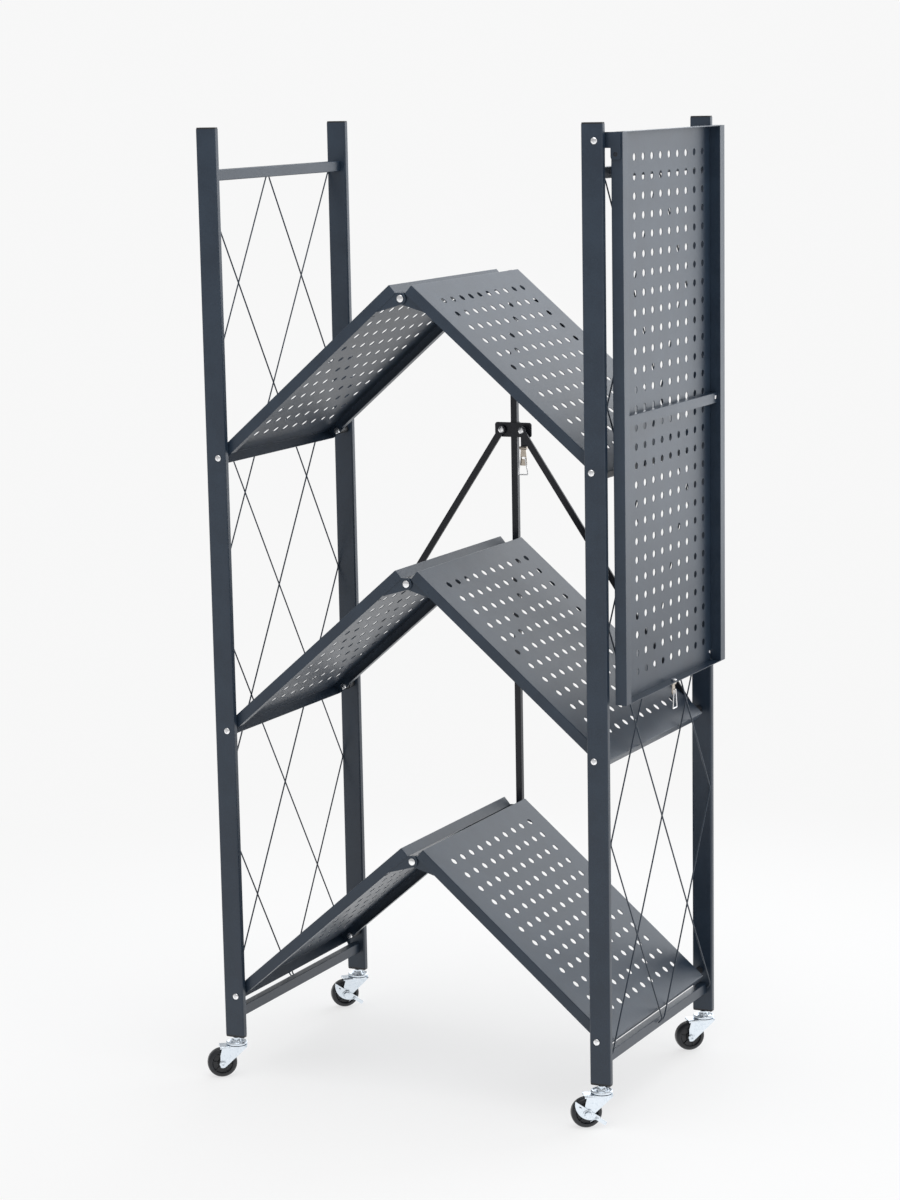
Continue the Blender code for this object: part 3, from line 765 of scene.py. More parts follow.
shelf = {
    "rows": 12,
    "columns": 10,
    "pitch": (0.0250, 0.0264),
    "holeRadius": 0.0047,
    "firstRow": 0.0257,
    "outerEnd": -0.0113,
    "innerEnd": 0.3342,
    "halfWidth": 0.160,
    "panTop": 0.010,
    "panDepth": 0.014,
    "sheet": 0.0008,
    "bend": 0.0010,
    "lipWidth": 0.011,
    "lipFrom": 0.012,
    "lipTo": 0.292,
    "slope": 40.6,
    "middleY": 0.1715,
    "apexReach": 0.335,
    "apexDrop": 0.013,
    "bore": 0.0034,
    "weldSpots": (0.009, 0.029),
}
gusset = {"length": 0.036, "thickness": 0.0016, "lobe": 0.0075, "stepIn": 0.0006}
panFloor = shelf["panTop"] - shelf["panDepth"]


def makePan():
    wide, top = shelf["halfWidth"], shelf["panTop"]
    outerEnd, innerEnd = shelf["outerEnd"], shelf["innerEnd"]
    pan, startX, stopX, gridY = perforatedSheet("pan", shelf, top)
    openMesh(pan)
    for sign in (1, -1):
        pullBorder(pan, 1, sign * gridY, (0, sign * (wide - gridY), 0))
    pullBorder(pan, 0, startX, (outerEnd - startX, 0, 0))
    pullBorder(pan, 0, stopX, (innerEnd - stopX, 0, 0))

    def onRim(edge):
        return onAny(edge, (0, outerEnd), (0, innerEnd), (1, wide), (1, -wide))

    def onLip(edge):
        inRun = all(shelf["lipFrom"] < v.co.x < shelf["lipTo"] for v in edge.verts)
        return onLine(2, panFloor)(edge) and inRun

    def atCorner(spot):
        return min(abs(spot.x - outerEnd), abs(spot.x - innerEnd)) < hair and abs(abs(spot.y) - wide) < hair

    def onFold(edge):
        return (onLine(2, top)(edge) and onRim(edge)) or alongAxis(2, atCorner)(edge)

    pick(pan, "EDGE", lambda edge: edge.is_boundary and onRim(edge))
    push((0, 0, panFloor - top))
    outward()
    for sign in (1, -1):
        pullBorder(pan, 1, sign * wide, (0, -sign * shelf["lipWidth"], 0), onLip)
    outward()
    roundOff(pan, onFold, shelf["bend"], 3)
    outward()
    closeMesh()
    giveWall(pan, shelf["sheet"])
    for sign in (1, -1):
        for x, z in ((0, 0), (shelf["apexReach"], -shelf["apexDrop"])):
            drill(pan, (x, sign * wide, z), shelf["bore"], 0.01)
    return pan


def makeGussets(layer):
    # tapered plates under the web's end, each with a round lobe about the apex pin
    thick, tip = gusset["thickness"], shelf["innerEnd"]
    start = tip - gusset["length"]
    outer = shelf["halfWidth"] - layer
    plates = []
    for sign in (1, -1):
        pin = (shelf["apexReach"], sign * (outer - thick / 2), -shelf["apexDrop"])
        near, far = sorted((sign * outer, sign * (outer - thick)))
        lobe = addDisc("lobe", pin, gusset["lobe"], thick, sides=32)
        heel = addBlock("heel", (start, near, panFloor - 0.0005), (start + 0.001, far, panFloor + 0.004))
        toe = addBlock("toe", (tip - 0.006, near, panFloor), (tip - 0.004, far, panFloor + 0.004))
        plate = drill(wrapPlate("gusset", lobe, heel, toe), pin, shelf["bore"], 0.01)
        plates.append(softenEdges(plate, 0.0003))
    return plates


def makeWeldBars():
    # spacer strips that tie the inner gussets of the right pans to their webs
    start = shelf["innerEnd"] - gusset["length"] + 0.001
    stop = shelf["innerEnd"] - 0.012
    near = shelf["halfWidth"] - shelf["sheet"] + lap
    far = shelf["halfWidth"] - 0.0030 - 0.0003
    bars = []
    for sign in (1, -1):
        low, high = sorted((sign * near, sign * far))
        bars.append(addBlock("spacer", (start, low, panFloor + 0.0006), (stop, high, panFloor + 0.0036)))
    return bars


def makeWeldSpots():
    # shallow spot welds on the outside of the webs
    profile = [(-0.0002, 0.0019), (0.0001, 0.0018), (0.0002, 0.0011), (0.00022, 0.0004)]
    spots = []
    for inset in shelf["weldSpots"]:
        for sign in (1, -1):
            spot = turnOnLathe("spot", profile, 16)
            tip = slide(shelf["innerEnd"] - inset, sign * shelf["halfWidth"], -0.001)
            spots.append(moved(spot, tip @ spin(-90 * sign, "X")))
    return spots


def makeShelves():
    pan = joined("pan", makePan(), *makeWeldSpots())
    sheet, thick = shelf["sheet"], gusset["thickness"]
    extras = {
        "left": makeGussets(sheet - lap),
        "right": makeGussets(sheet + thick + gusset["stepIn"]) + makeWeldBars(),
    }
    middle = originY + shelf["middleY"]
    for side, parts in extras.items():
        model = smooth(joined(f"{side}Pan", twin(pan, f"{side}Pan"), *parts), 30)
        face = spin(0 if side == "left" else 180, "Z")
        tilt = spin(-sideSign[side] * shelf["slope"], "Y")
        for level in levels:
            pivot = jointPlace[levelJoint(side, level)]
            node = f"{level}_{side}_shelf"
            piece = twin(model, node, slide(pivot.x, middle, pivot.z) @ tilt @ face)
            fit(piece, slate, f"{level}_{side}", "slate", node)
        scrap(model)
    scrap(pan)


makeShelves()
print("six half shelves are pressed and placed")


# Bolts and pins. The linkage's values come first, because the bolts and pins leave room for its bars

linkage = {
    "rodWidth": 0.009,
    "rodFront": 0.3452,
    "rodDepth": 0.008,
    "rodRound": 0.0006,
    "collarHeight": 0.020,
    "plateWidth": 0.054,
    "plateFront": 0.3434,
    "plateThick": 0.0014,
    "plateCorner": 0.0035,
    "boltOffset": 0.016,
    "braceWidth": 0.009,
    "braceLength": 0.444,
    "braceHead": 0.0042,
    "braceLayer": {"left": (0.3390, 0.3424), "right": (0.3338, 0.3368)},
}
bolt = {
    "shank": 0.003,
    "head": 0.0043,
    "headHeight": 0.0022,
    "spacer": 0.0065,
    "rearSpacer": 0.005,
    "nutRadius": 0.0044,
    "nutHeight": 0.0026,
}
alongBack = spin(-90, "X")
alongFront = spin(90, "X")


def dome(radius, height, steps):
    # turned head through (height, radius) steps given as parts of its own size
    return turnOnLathe("head", [(height * up, radius * out) for up, out in steps], 28)


def panHead(radius, height):
    # domed head with a cross recess; its seat is at height zero and it faces up
    head = dome(radius, height, (
        (0, 0.98), (0.22, 1), (0.45, 0.965), (0.68, 0.86), (0.86, 0.66), (0.96, 0.40), (1, 0.15),
    ))
    wide, long = radius * 0.17, radius * 0.50
    for turn in (0, 90):
        tool = addBlock("recess", (-long, -wide / 2, height * 0.35), (long, wide / 2, height * 1.5))
        cutOut(head, moved(tool, spin(turn, "Z")))
    return head


def hexNut(radius, height):
    # hexagon nut with a rounded crown and the thread end showing
    nut = addDisc("nut", (0, 0, height / 2), radius, height, "Z", 6)
    openMesh(nut)
    insetFaces(nut, looks(2, 1), radius * 0.14)
    bpy.ops.transform.translate(value=(0, 0, height * 0.14))
    closeMesh()
    thread = [(0.0001, radius * 0.5), (height * 1.12, radius * 0.5), (height * 1.28, radius * 0.38)]
    return weldOn(nut, turnOnLathe("end", thread, 20))


def shankPiece(*sections):
    # plain turned body through (start, stop, radius) sections along Z
    profile = []
    for start, stop, radius in sections:
        profile += [(start, radius), (stop, radius)]
    return turnOnLathe("shank", profile)


def spacerRing(start, stop, radius):
    # plastic washer between a shelf's web and the upright
    bore = bolt["shank"] + 0.0002
    return turnOnLathe("ring", [(start, bore), (start, radius), (stop, radius), (stop, bore)], bored=True)


def assembled(name, x, z, *parts):
    # parts that were made along Z, set on one Y axis: way 1 points to the rear, -1 to the front
    placed = []
    for item, y, way in parts:
        placed.append(moved(item, slide(x, originY + y, z) @ (alongBack if way > 0 else alongFront)))
    return smooth(joined(name, *placed), 30)


def makePivotBolts():
    sheet, panFront, panRear = shelf["sheet"], layout["panFront"], layout["panRear"]
    outer = frameDepth - layout["postDepth"]
    head = panHead(bolt["head"], bolt["headHeight"])
    nut = hexNut(bolt["nutRadius"], bolt["nutHeight"])
    seats = {
        "front": (-1, -gap, panFront + sheet + gap),
        "rear": (1, frameDepth + gap, panRear - sheet - gap),
    }
    for side in sideSign:
        for level in levels:
            pivot = jointPlace[levelJoint(side, level)]
            for place, (way, headSeat, nutSeat) in seats.items():
                name = f"{side}_{place}_{level}_bolt"
                start, stop = sorted((headSeat, nutSeat - way * lap))
                whole = assembled(
                    name, pivot.x, pivot.z, (twin(head, "head"), headSeat, way),
                    (shankPiece((start, stop, bolt["shank"])), 0, 1), (twin(nut, "nut"), nutSeat, -way),
                )
                fit(whole, boltZinc, foldBody[side], "zinc", name)
            spacers = [(panRear + gap, outer - gap)]
            if level == "middle":
                low, high = linkage["braceLayer"][side]
                spacers = [(panRear + gap, low - gap), (high + gap, outer - gap)]
            rings = [spacerRing(layout["postDepth"] + gap, panFront - gap, bolt["spacer"])]
            rings += [spacerRing(start, stop, bolt["rearSpacer"]) for start, stop in spacers]
            rings = [(ring, 0, 1) for ring in rings]
            whole = assembled(f"{side}_{level}_spacers", pivot.x, pivot.z, *rings)
            fit(whole, blackPlastic, foldBody[side], "wheel_black")
    scrap(head, nut)


apexPin = {"head": 0.0047, "height": 0.0024, "tail": 0.0044, "neck": 0.0042, "rodPin": 0.002}


def apexPlace(level):
    pivot = jointPlace[levelJoint("left", level)]
    reach, drop, turn = shelf["apexReach"], shelf["apexDrop"], math.radians(shelf["slope"])
    x = pivot.x + reach * math.cos(turn) + drop * math.sin(turn)
    return x, pivot.z + reach * math.sin(turn) - drop * math.cos(turn)


def makeApexPins():
    # peened pins: a low domed head, the shank through both gussets, and at the rear a neck to the rod
    thick = 2 * gusset["thickness"] + 3 * gap
    steps = ((0, 0.9), (0.2, 1), (0.5, 0.97), (0.75, 0.8), (0.93, 0.5), (1, 0.2))
    head = dome(apexPin["head"], apexPin["height"], steps)
    web = layout["panFront"] + shelf["sheet"]
    back = layout["panRear"] + gap
    rearWeb = layout["panRear"] - shelf["sheet"] - thick
    rodFront, rodRear = linkage["rodFront"], linkage["rodFront"] + linkage["rodDepth"]
    pins = {
        "front": (web - gap, (
            (web - gap - lap, web + thick + gap, bolt["shank"]),
            (web + thick + gap, web + thick + 0.002, apexPin["tail"]),
        )),
        "rear": (rearWeb - gap, (
            (rearWeb - gap - lap, back, bolt["shank"]),
            (back, rodFront - gap, apexPin["neck"]),
            (rodFront - gap, rodRear + 0.0005, apexPin["rodPin"]),
        )),
    }
    for level in levels:
        for place, (seat, sections) in pins.items():
            name = f"{level}_apex_{place}_pin"
            parts = ((twin(head, "head"), seat, -1), (shankPiece(*sections), 0, 1))
            fit(assembled(name, *apexPlace(level), *parts), boltZinc, f"{level}_left", "zinc", name)
    scrap(head)


makePivotBolts()
makeApexPins()
print("bolts and pins are in")


# Link rod, collar and braces


def makeLinkRod():
    low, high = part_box("link_rod")
    rod = roundedBlock("link_rod", low, high, 2, linkage["rodRound"], 3)
    middle = (low + high) / 2
    for level in levels:
        spot = (middle.x, middle.y, apexPlace(level)[1])
        drill(rod, spot, apexPin["rodPin"] + 0.0003, sides=20)
    softenEdges(rod, 0.0003, 1, 60)
    fit(smooth(rod), blackCoat, "rod", "slate", "link_rod")


def makeCollar():
    low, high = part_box("collar")
    axisX = jointPlace["rod_pivot"].x
    front = originY + linkage["plateFront"]
    back = front + linkage["plateThick"]
    top, foot = high.z, high.z - linkage["collarHeight"]
    half = linkage["plateWidth"] / 2
    crown = (axisX + half, back, top)
    plate = roundedBlock("collar", (axisX - half, front, foot), crown, 1, linkage["plateCorner"], 5)
    weldOn(plate, addBlock("tab", (axisX + 0.011, front, low.z), (axisX + 0.021, back, foot + 0.002)))
    side = linkage["rodWidth"] / 2 + gap
    wall = linkage["plateThick"]
    rodFront = originY + linkage["rodFront"]
    rear = rodFront + linkage["rodDepth"]
    sleeve = addBlock("sleeve", (axisX - side - wall, front, foot), (axisX + side + wall, rear + wall, top))
    weldOn(plate, roundEdges(sleeve, alongAxis(2, lambda spot: spot.y > rear), 0.0016, 3))
    crown = (axisX + side, rear + gap, top + 0.1)
    cutOut(plate, addBlock("bore", (axisX - side, rodFront - gap, foot - 0.1), crown))
    softenEdges(plate, 0.00035)
    fit(smooth(plate, 30), blackCoat, "collar", "slate", "collar")


def makeBrace(side):
    # flat bar from the middle rear pivot up to the collar, with its bright upper bolt
    name = f"{side}_brace"
    pivot = jointPlace[f"{name}_pivot"]
    near, far = linkage["braceLayer"][side]
    front, rear = originY + near, originY + far
    length = linkage["braceLength"]
    half = linkage["braceWidth"] / 2
    middle = (front + rear) / 2
    bar = addBlock(name, (-half, front, 0), (half, rear, length))
    weldOn(bar, *[addDisc("end", (0, middle, z), half + 0.0015, rear - front, sides=32) for z in (0, length)])
    drill(bar, (0, middle, 0), shelf["bore"])
    softenEdges(bar, 0.0005)
    smooth(bar, 30)
    run = abs(jointPlace["rod_pivot"].x - pivot.x) - linkage["boltOffset"]
    lean = math.degrees(math.asin(run / length))
    place = slide(pivot.x, 0, pivot.z) @ spin(sideSign[side] * lean, "Y")
    fit(moved(bar, place), blackCoat, name, "slate", name)
    tip = place @ Vector((0, 0, length))
    tail = linkage["plateFront"] - gap if side == "left" else far + lap
    head, shank = panHead(linkage["braceHead"], 0.0016), shankPiece((near - 0.0001, tail, 0.0025))
    screw = assembled(f"{name}_bolt", tip.x, tip.z, (head, near, -1), (shank, 0, 1))
    fit(screw, boltZinc, name, "zinc")


makeLinkRod()
makeCollar()
for side in sideSign:
    makeBrace(side)
print("link rod, collar and braces are assembled")


# Top panel, drawn flat: x runs down from its hinged end, the outer face up at height zero

panel = {
    "rows": 28,
    "columns": 10,
    "pitch": (0.02365, 0.0283),
    "holeRadius": 0.0047,
    "firstRow": 0.032,
    "length": 0.700,
    "depth": 0.015,
    "front": 0.0126,
    "boxWidth": 0.0160,
    "sheet": 0.0008,
    "bend": 0.0006,
    "offset": 0.0165,
    "rise": 0.010,
    "relief": (-0.01314, -0.0149, 0.0072),
    "stiffenerHalf": 0.0065,
    "stiffenerDepth": 0.010,
}


def makeTray():
    length, depth, sheet = panel["length"], panel["depth"], panel["sheet"]
    wide = frameDepth / 2 - panel["front"]
    inside = wide - panel["boxWidth"]
    tray, startX, stopX, gridY = perforatedSheet("tray", panel, 0)
    openMesh(tray)
    for sign in (1, -1):
        pullBorder(tray, 1, sign * gridY, (0, sign * (inside - gridY), 0))
        pullBorder(tray, 1, sign * inside, (0, sign * (wide - inside), 0))
    pullBorder(tray, 0, startX, (-startX, 0, 0))
    pullBorder(tray, 0, stopX, (length - stopX, 0, 0))
    for sign in (1, -1):
        pullBorder(tray, 1, sign * wide, (0, 0, -depth))
        pullBorder(tray, 1, sign * wide, (0, -sign * (wide - inside), 0), onLine(2, -depth))
        push((0, 0, depth - 1.3 * sheet))

    def onEnd(edge):
        between = all(abs(v.co.y) < inside + hair for v in edge.verts)
        return between and onLine(2, 0)(edge)

    for x in (0, length):
        pullBorder(tray, 0, x, (0, 0, -depth), onEnd)
    outward()

    def onFold(edge):
        innerRim = onAny(edge, (1, inside), (1, -inside)) and onLine(2, -depth)(edge)
        boxFold = alongAxis(0)(edge) and (onAny(edge, (1, wide), (1, -wide)) or innerRim)
        endFold = onEnd(edge) and onAny(edge, (0, 0), (0, length))
        return len(edge.link_faces) == 2 and (boxFold or endFold)

    roundOff(tray, onFold, panel["bend"], 3)
    pickAll()
    corner = panel["relief"]
    slant = (corner[1] - corner[0], 0, -corner[2])
    bpy.ops.mesh.bisect(plane_co=(corner[2], 0, corner[1]), plane_no=slant, clear_outer=True)
    outward()
    closeMesh()
    return giveWall(tray, sheet)


def makeStiffener():
    # angle strip across the middle of the panel
    wide = frameDepth / 2 - panel["front"] - panel["boxWidth"] + lap
    middle, half = panel["length"] / 2, panel["stiffenerHalf"]
    low = (middle - half, -wide, -panel["stiffenerDepth"])
    strip = addBlock("strip", low, (middle + half, wide, -0.0006))
    openMesh(strip)
    dropFaces(strip, lambda face: looks(0, 1)(face) or looks(2, 1)(face) or looks(1, 1, -1)(face))
    roundOff(strip, lambda edge: alongAxis(1)(edge) and len(edge.link_faces) == 2, 0.0012, 3)
    outward()
    closeMesh()
    return giveWall(strip, 0.0009)


def makeTopPanel():
    whole = smooth(joined("top_panel", makeTray(), makeStiffener()), 30)
    # flat drawing to its place: local x goes down, y to the front and z towards the frame
    hinge = jointPlace["panel_hinge"]
    corner = slide(hinge.x + panel["offset"], originY + frameDepth / 2, hinge.z + panel["rise"])
    place = corner @ Matrix(((0, 0, -1, 0), (0, -1, 0, 0), (-1, 0, 0, 0), (0, 0, 0, 1)))
    fit(moved(whole, place), slate, "top_panel", "slate", "top_panel")
    length, sheet = panel["length"], panel["sheet"]
    wide = frameDepth / 2 - panel["front"] - panel["boxWidth"]
    profile = [(0, 0.0036), (0.0012, 0.0038), (0.0022, 0.0034), (0.0029, 0.0024), (0.0031, 0.0010)]
    cap = turnOnLathe("cap", profile, 28)
    heads = [moved(cap, place @ slide(length - sheet, 0, -0.0098) @ spin(-90, "Y"))]
    middle = (length / 2 - 0.001, 0.006 - wide, -panel["stiffenerDepth"])
    for seat in (middle, (length - 0.012, 0.004 - wide, -sheet)):
        heads.append(moved(panHead(0.0028, 0.0014), place @ slide(*seat) @ spin(180, "X")))
    fit(smooth(joined("panel_screws", *heads), 30), boltZinc, "top_panel", "zinc")


makeTopPanel()
print("top panel is folded and hung")


# Hinge brackets

bracket = {"corner": 0.0035, "legTop": -0.009, "legLow": -0.023, "legFrom": 0.0165, "screwInset": 0.0065}


def makeBracket(place):
    hinge = jointPlace["panel_hinge"]
    if place == "front":
        way, headSeat, near, far = -1, -gap, layout["postDepth"] + 2 * gap, panel["front"] - gap
        screwSeat = near + lap
    else:
        way, headSeat = 1, frameDepth + gap
        near, far = frameDepth - panel["front"] + gap, frameDepth - layout["postDepth"] - 2 * gap
        screwSeat = far - lap
    front, rear = originY + near, originY + far
    reach = panel["offset"] + panel["depth"] - 0.002
    legFrom, legTop = bracket["legFrom"], bracket["legTop"]
    name = f"{place}_hinge_bracket"
    plate = addBlock(name, (-0.009, front, legTop), (reach, rear, panel["rise"]))
    weldOn(plate, addBlock("leg", (legFrom, front, bracket["legLow"]), (reach, rear, 0)))

    def atCorner(spot):
        inner = abs(spot.x - legFrom) < hair and abs(spot.z - legTop) < hair
        return spot.z < panel["rise"] - 0.001 and not inner or spot.x < 0

    softenEdges(roundEdges(plate, alongAxis(1, atCorner), bracket["corner"], 5), 0.0002, 1, 60)
    smooth(plate, 30)
    fit(moved(plate, slide(hinge.x, 0, hinge.z)), slate, "top_panel", "slate", name)
    head = panHead(bolt["head"], bolt["headHeight"])
    shank = shankPiece((*sorted((headSeat, screwSeat)), bolt["shank"]))
    trim = assembled(f"{place}_hinge_bolt", hinge.x, hinge.z, (head, headSeat, way), (shank, 0, 1))
    fit(trim, boltZinc, "top_panel", "zinc")
    inset = bracket["screwInset"]
    screwX, screwZ = hinge.x + reach - inset, hinge.z + bracket["legLow"] + inset
    screw = assembled(f"{place}_bracket_screw", screwX, screwZ, (panHead(0.0030, 0.0005), screwSeat, way))
    fit(screw, blackCoat, "top_panel", "slate")


for place in ("front", "rear"):
    makeBracket(place)
print("hinge brackets are on")


# Toggle latches

latch = {"half": 0.0055, "thin": 0.0012, "wire": 0.0009, "barrel": 0.0022, "bailBend": 0.0018}
bailRoute = (
    (-0.0035, 0), (-0.0035, -0.003), (-0.007, -0.024), (0.007, -0.024), (0.0035, -0.003), (0.0035, 0),
)


def makeLatch(name, length, turn):
    # pressed lever with rolled edges and a barrel, and the wire bail that hangs on it
    half, thin = latch["half"], latch["thin"]
    lever = addBlock("lever", (-half, -thin / 2, -length), (half, thin / 2, 0))
    openMesh(lever)
    roundOff(lever, alongAxis(1, lambda spot: spot.z < -length + 0.0001), 0.0022, 4)
    pick(lever, "FACE", looks(2, 1))
    bpy.ops.transform.resize(value=(0.62, 1, 1))
    closeMesh()
    cutOut(lever, addBlock("slot", (-0.0020, -0.01, -length * 0.62), (0.0020, 0.01, -length * 0.5)))
    softenEdges(lever, 0.00025)
    barrel = addDisc("barrel", (0, 0, 0), latch["barrel"], 2 * half, "X", 20)
    softenEdges(barrel, 0.0003, 1)
    lever = smooth(joined("lever", lever, barrel), 30)
    points = roundedRoute([Vector((x, 0, z)) for x, z in bailRoute], latch["bailBend"])
    bail = smooth(bendWire("bail", points, latch["wire"]), 50)
    for item, kind, paint, slot in ((lever, "lever", nickel, "nickel"), (bail, "bail", boltZinc, "zinc")):
        node = f"{name}_latch_{kind}"
        moved(item, slide(*jointPlace[f"{name}_{kind}_pivot"]) @ spin(turn, "Z"), node)
        fit(item, paint, f"{name}_{kind}", slot, node)


makeLatch("collar", 0.024, 0)
makeLatch("panel", 0.014, 90)
print("latches hang")


# Swivel casters, drawn at the swivel with the wheel trailing along -x

caster = {
    "trail": 0.0203,
    "turn": {"left_front": 35, "right_front": 34, "left_rear": 40, "right_rear": 39},
    "braked": ("right_front", "left_rear"),
    "wheelRadius": 0.020,
    "halfWidth": 0.008,
    "raceRadius": 0.0145,
    "raceTop": 0.0485,
    "forkTop": 0.0437,
    "hoodReach": 0.0235,
    "legGap": 0.0007,
    "legThick": 0.0015,
    "eyeRadius": 0.006,
    "axle": 0.003,
}
legOuter = caster["halfWidth"] + caster["legGap"] + caster["legThick"]


def makeRace():
    # zinc race: a rolled dish with a raised boss, and the stem up to the plug
    radius = caster["raceRadius"]
    base = caster["raceTop"] - 0.0044
    dish = (
        (0, 0.0016), (0.0006, 0.0006), (0.0018, 0), (0.0029, 0.0001), (0.0038, 0.0006), (0.0042, 0.0014),
        (0.0040, 0.0026), (0.0032, 0.0036), (0.0029, 0.0052),
    )
    boss = ((0.0031, 0.0068), (0.0046, 0.0062), (0.0060, 0.0059), (0.0064, 0.0052), (0.0066, 0.0045))
    profile = [(base + up, radius - inset) for up, inset in dish] + [(base + up, out) for up, out in boss]
    parts = [turnOnLathe("race", profile + [(0.0534, 0.0045)], 40)]
    steps = ((0.0025, 0.0016), (0.0038, 0.0015), (0.0044, 0.0009), (0.0046, 0.0003))
    for turn in (20, 110, 200, 290):
        stud = turnOnLathe("stud", [(base + up, out) for up, out in steps], 14)
        angle = math.radians(turn)
        parts.append(moved(stud, slide(0.0088 * math.cos(angle), 0.0088 * math.sin(angle), 0)))
    return joined("race", *parts)


def makePlug():
    # black plug in the upright's foot, with rounded lower corners
    footZ = layout["footHeight"]
    low = footZ - 0.0030
    plug = roundedBlock("plug", (-0.0138, -0.0048, low), (0.0138, 0.0048, footZ - 0.0001), 2, 0.0019, 4)
    openMesh(plug)
    insetFaces(plug, looks(2, 1), 0.0012)
    push((0, 0, 0.016))
    outward()
    roundOff(plug, onLine(2, low), 0.0013, 3)
    closeMesh()
    return plug


def makeFork(braked):
    trail, top, reach = caster["trail"], caster["forkTop"], caster["hoodReach"]
    shoulder = caster["raceRadius"] - 0.0015
    channel = addBlock("channel", (-reach, -legOuter, 0.010), (shoulder, legOuter, top))
    openMesh(channel)
    roundOff(channel, alongAxis(0, lambda spot: spot.z > 0.04), 0.0022, 4)
    dropFaces(channel, lambda face: looks(0, 1, -1)(face) or looks(2, -1)(face))
    closeMesh()
    giveWall(channel, caster["legThick"])
    half = (2 * legOuter + 0.004) / 2

    def across(name, fromX, fromZ, toX, toZ):
        return addBlock(name, (fromX, -half, fromZ), (toX, half, toZ))

    outline = wrapPlate(
        "outline",
        addDisc("eye", (-trail, 0, caster["wheelRadius"]), caster["eyeRadius"], 2 * half, sides=40),
        across("brow", -reach + 0.0035, top - 0.0006, shoulder, top + 0.001),
        across("knee", shoulder - 0.0045, top - 0.0045, shoulder - 0.004, top),
        across("lip", shoulder - 0.001, top - 0.0024, shoulder, top),
    )
    weldOn(outline, across("hood", -reach - 0.001, top - 0.0034, 0.004, top + 0.002))
    combine(channel, "INTERSECT", outline)
    table = addDisc("table", (0, 0, top - 0.0011), caster["raceRadius"] - 0.0005, 0.0022, "Z", 48)
    softenEdges(weldOn(channel, table), 0.00035, 2, 50)
    front = legOuter + (0.0024 if braked else 0)
    axle = shankPiece((-front - lap, legOuter + lap, caster["axle"]))
    if braked:
        nut = hexNut(0.0045, 0.0022)
    else:
        nut = turnOnLathe("rivet", [
            (0, 0.0046), (0.0006, 0.0045), (0.0012, 0.0036), (0.0014, 0.0022), (0.0009, 0.0014),
            (0.0008, 0.0004),
        ], 28)
    profile = [(0, 0.0046), (0.0006, 0.0045), (0.0014, 0.0034), (0.0018, 0.0020), (0.0019, 0.0006)]
    head = turnOnLathe("rivet", profile, 28)
    parts = [channel]
    for item, y, turn in ((axle, 0, alongBack), (nut, -front, alongFront), (head, legOuter, alongBack)):
        parts.append(moved(item, slide(-trail, y, caster["wheelRadius"]) @ turn))
    return smooth(joined("fork", *parts))


def makeWheel():
    # rounded tread, ribbed web and hub, bored for the axle; it turns about Z while it is made
    half = caster["halfWidth"]
    steps = (
        (0, caster["axle"] + 0.0003), (0, 0.0060), (0.0008, 0.0065), (0.0030, 0.0068), (0.0032, 0.0074),
        (0.0032, 0.0128), (0.0026, 0.0136), (0.0006, 0.0140), (0.0002, 0.0146), (0.0004, 0.0160),
        (0.0012, 0.0176), (0.0024, 0.0190), (0.0040, 0.0198), (0.0058, caster["wheelRadius"]),
    )
    profile = [(depth - half, out) for depth, out in steps]
    profile += [(half - depth, out) for depth, out in reversed(steps)]
    parts = [turnOnLathe("wheel", profile, 48, bored=True)]
    for turn in range(6):
        for sign in (1, -1):
            low, high = sorted((sign * (half - 0.0036), sign * (half - 0.0014)))
            rib = addBlock("rib", (0.0060, -0.00055, low), (0.0140, 0.00055, high))
            parts.append(moved(rib, spin(60 * turn + 12, "Z")))
    return moved(smooth(joined("wheel", *parts), 30), alongBack)


brake = {"radius": 0.0217, "rise": 0.0057, "sagitta": 0.013, "thick": 0.0013, "angle": 34.7, "creaseTurn": 24}


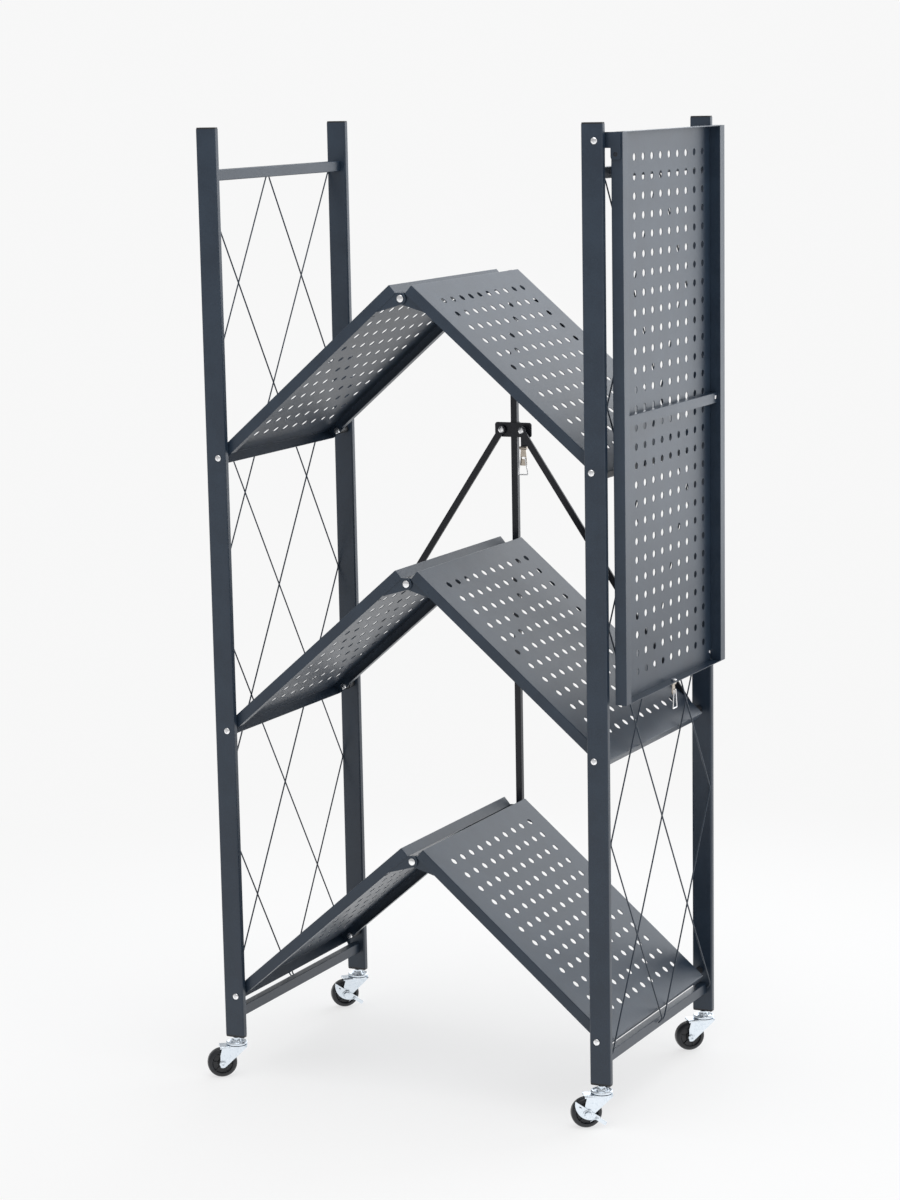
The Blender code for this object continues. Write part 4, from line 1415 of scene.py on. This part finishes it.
def makeBrake():
    # lens-shaped pedal plate with a raised nut seat, a crease, a slot and a flared tab
    inner = -(legOuter + 0.0003)
    outer = inner - brake["thick"]
    middle = (inner + outer) / 2
    centre = (-0.0033, middle, brake["radius"] - (brake["sagitta"] - brake["rise"]))
    plate = addDisc("plate", centre, brake["radius"], brake["thick"], sides=96)
    openMesh(plate)
    bpy.ops.mesh.bisect(plane_co=(0, 0, brake["rise"]), plane_no=(0, 0, 1), clear_outer=True, use_fill=True)
    outward()
    closeMesh()
    cutOut(plate, addBlock("slot", (-0.0150, outer - 0.01, 0.0022), (-0.0118, inner + 0.01, 0.0033)))
    drill(plate, (0, middle, 0), caster["axle"] + 0.0003, 0.01)
    softenEdges(plate, 0.0003)
    ring = turnOnLathe("seat", [
        (0.0002, 0.0072), (-0.0002, 0.0070), (-0.0007, 0.0062), (-0.0009, 0.0056), (-0.0009, 0.0048),
        (-0.0001, 0.0046), (0.0002, 0.0046),
    ], 8, bored=True)
    moved(ring, slide(0, outer + 0.0001, 0) @ alongBack)
    crease = addBlock("crease", (0.0106, outer - 0.0004, -0.0068), (0.0113, outer + 0.0002, 0.0050))
    lean = spin(brake["creaseTurn"], "Y")
    moved(crease, slide(0.011, 0, 0) @ lean @ slide(-0.011, 0, 0))
    softenEdges(crease, 0.0002)
    tab = addBlock("tab", (0.0100, outer, brake["rise"] - 0.0060), (0.0275, inner, brake["rise"] - 0.0014))
    openMesh(tab)
    pick(tab, "FACE", looks(0, 1))
    bpy.ops.transform.resize(value=(1, 1, 1.12))
    roundOff(tab, alongAxis(1, lambda spot: spot.x > 0.02), 0.0010, 3)
    closeMesh()
    softenEdges(tab, 0.0003)
    pedal = smooth(joined("brake", plate, ring, crease, tab), 30)
    return moved(pedal, spin(brake["angle"], "Y"))


def makeCasters():
    race, plug = smooth(makeRace()), smooth(makePlug(), 40)
    forks = {True: makeFork(True), False: makeFork(False)}
    wheel, pedal = makeWheel(), makeBrake()
    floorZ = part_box("left_front_upright")[0].z - layout["footHeight"]
    for name, degrees in caster["turn"].items():
        side = name.split("_")[0]
        braked = name in caster["braked"]
        swivel = jointPlace[f"{name}_swivel"]
        stand = slide(swivel.x, swivel.y, floorZ)
        turned = stand @ spin(degrees, "Z")
        axle = turned @ slide(-caster["trail"], 0, caster["wheelRadius"])
        fit(twin(race, f"{name}_race", turned), zinc, foldBody[side], "zinc", f"{name}_caster_stem")
        fit(twin(plug, f"{name}_plug", stand), blackPlastic, foldBody[side], "wheel_black")
        fit(twin(forks[braked], f"{name}_fork", turned), zinc, f"{name}_fork", "zinc", f"{name}_fork")
        fit(twin(wheel, f"{name}_wheel", axle), tyreBlack, f"{name}_wheel", "wheel_black", f"{name}_wheel")
        if braked:
            fit(twin(pedal, f"{name}_brake", axle), zinc, f"{name}_brake", "zinc", f"{name}_brake")
    scrap(race, plug, wheel, pedal, *forks.values())


makeCasters()
print("casters are under the frames")
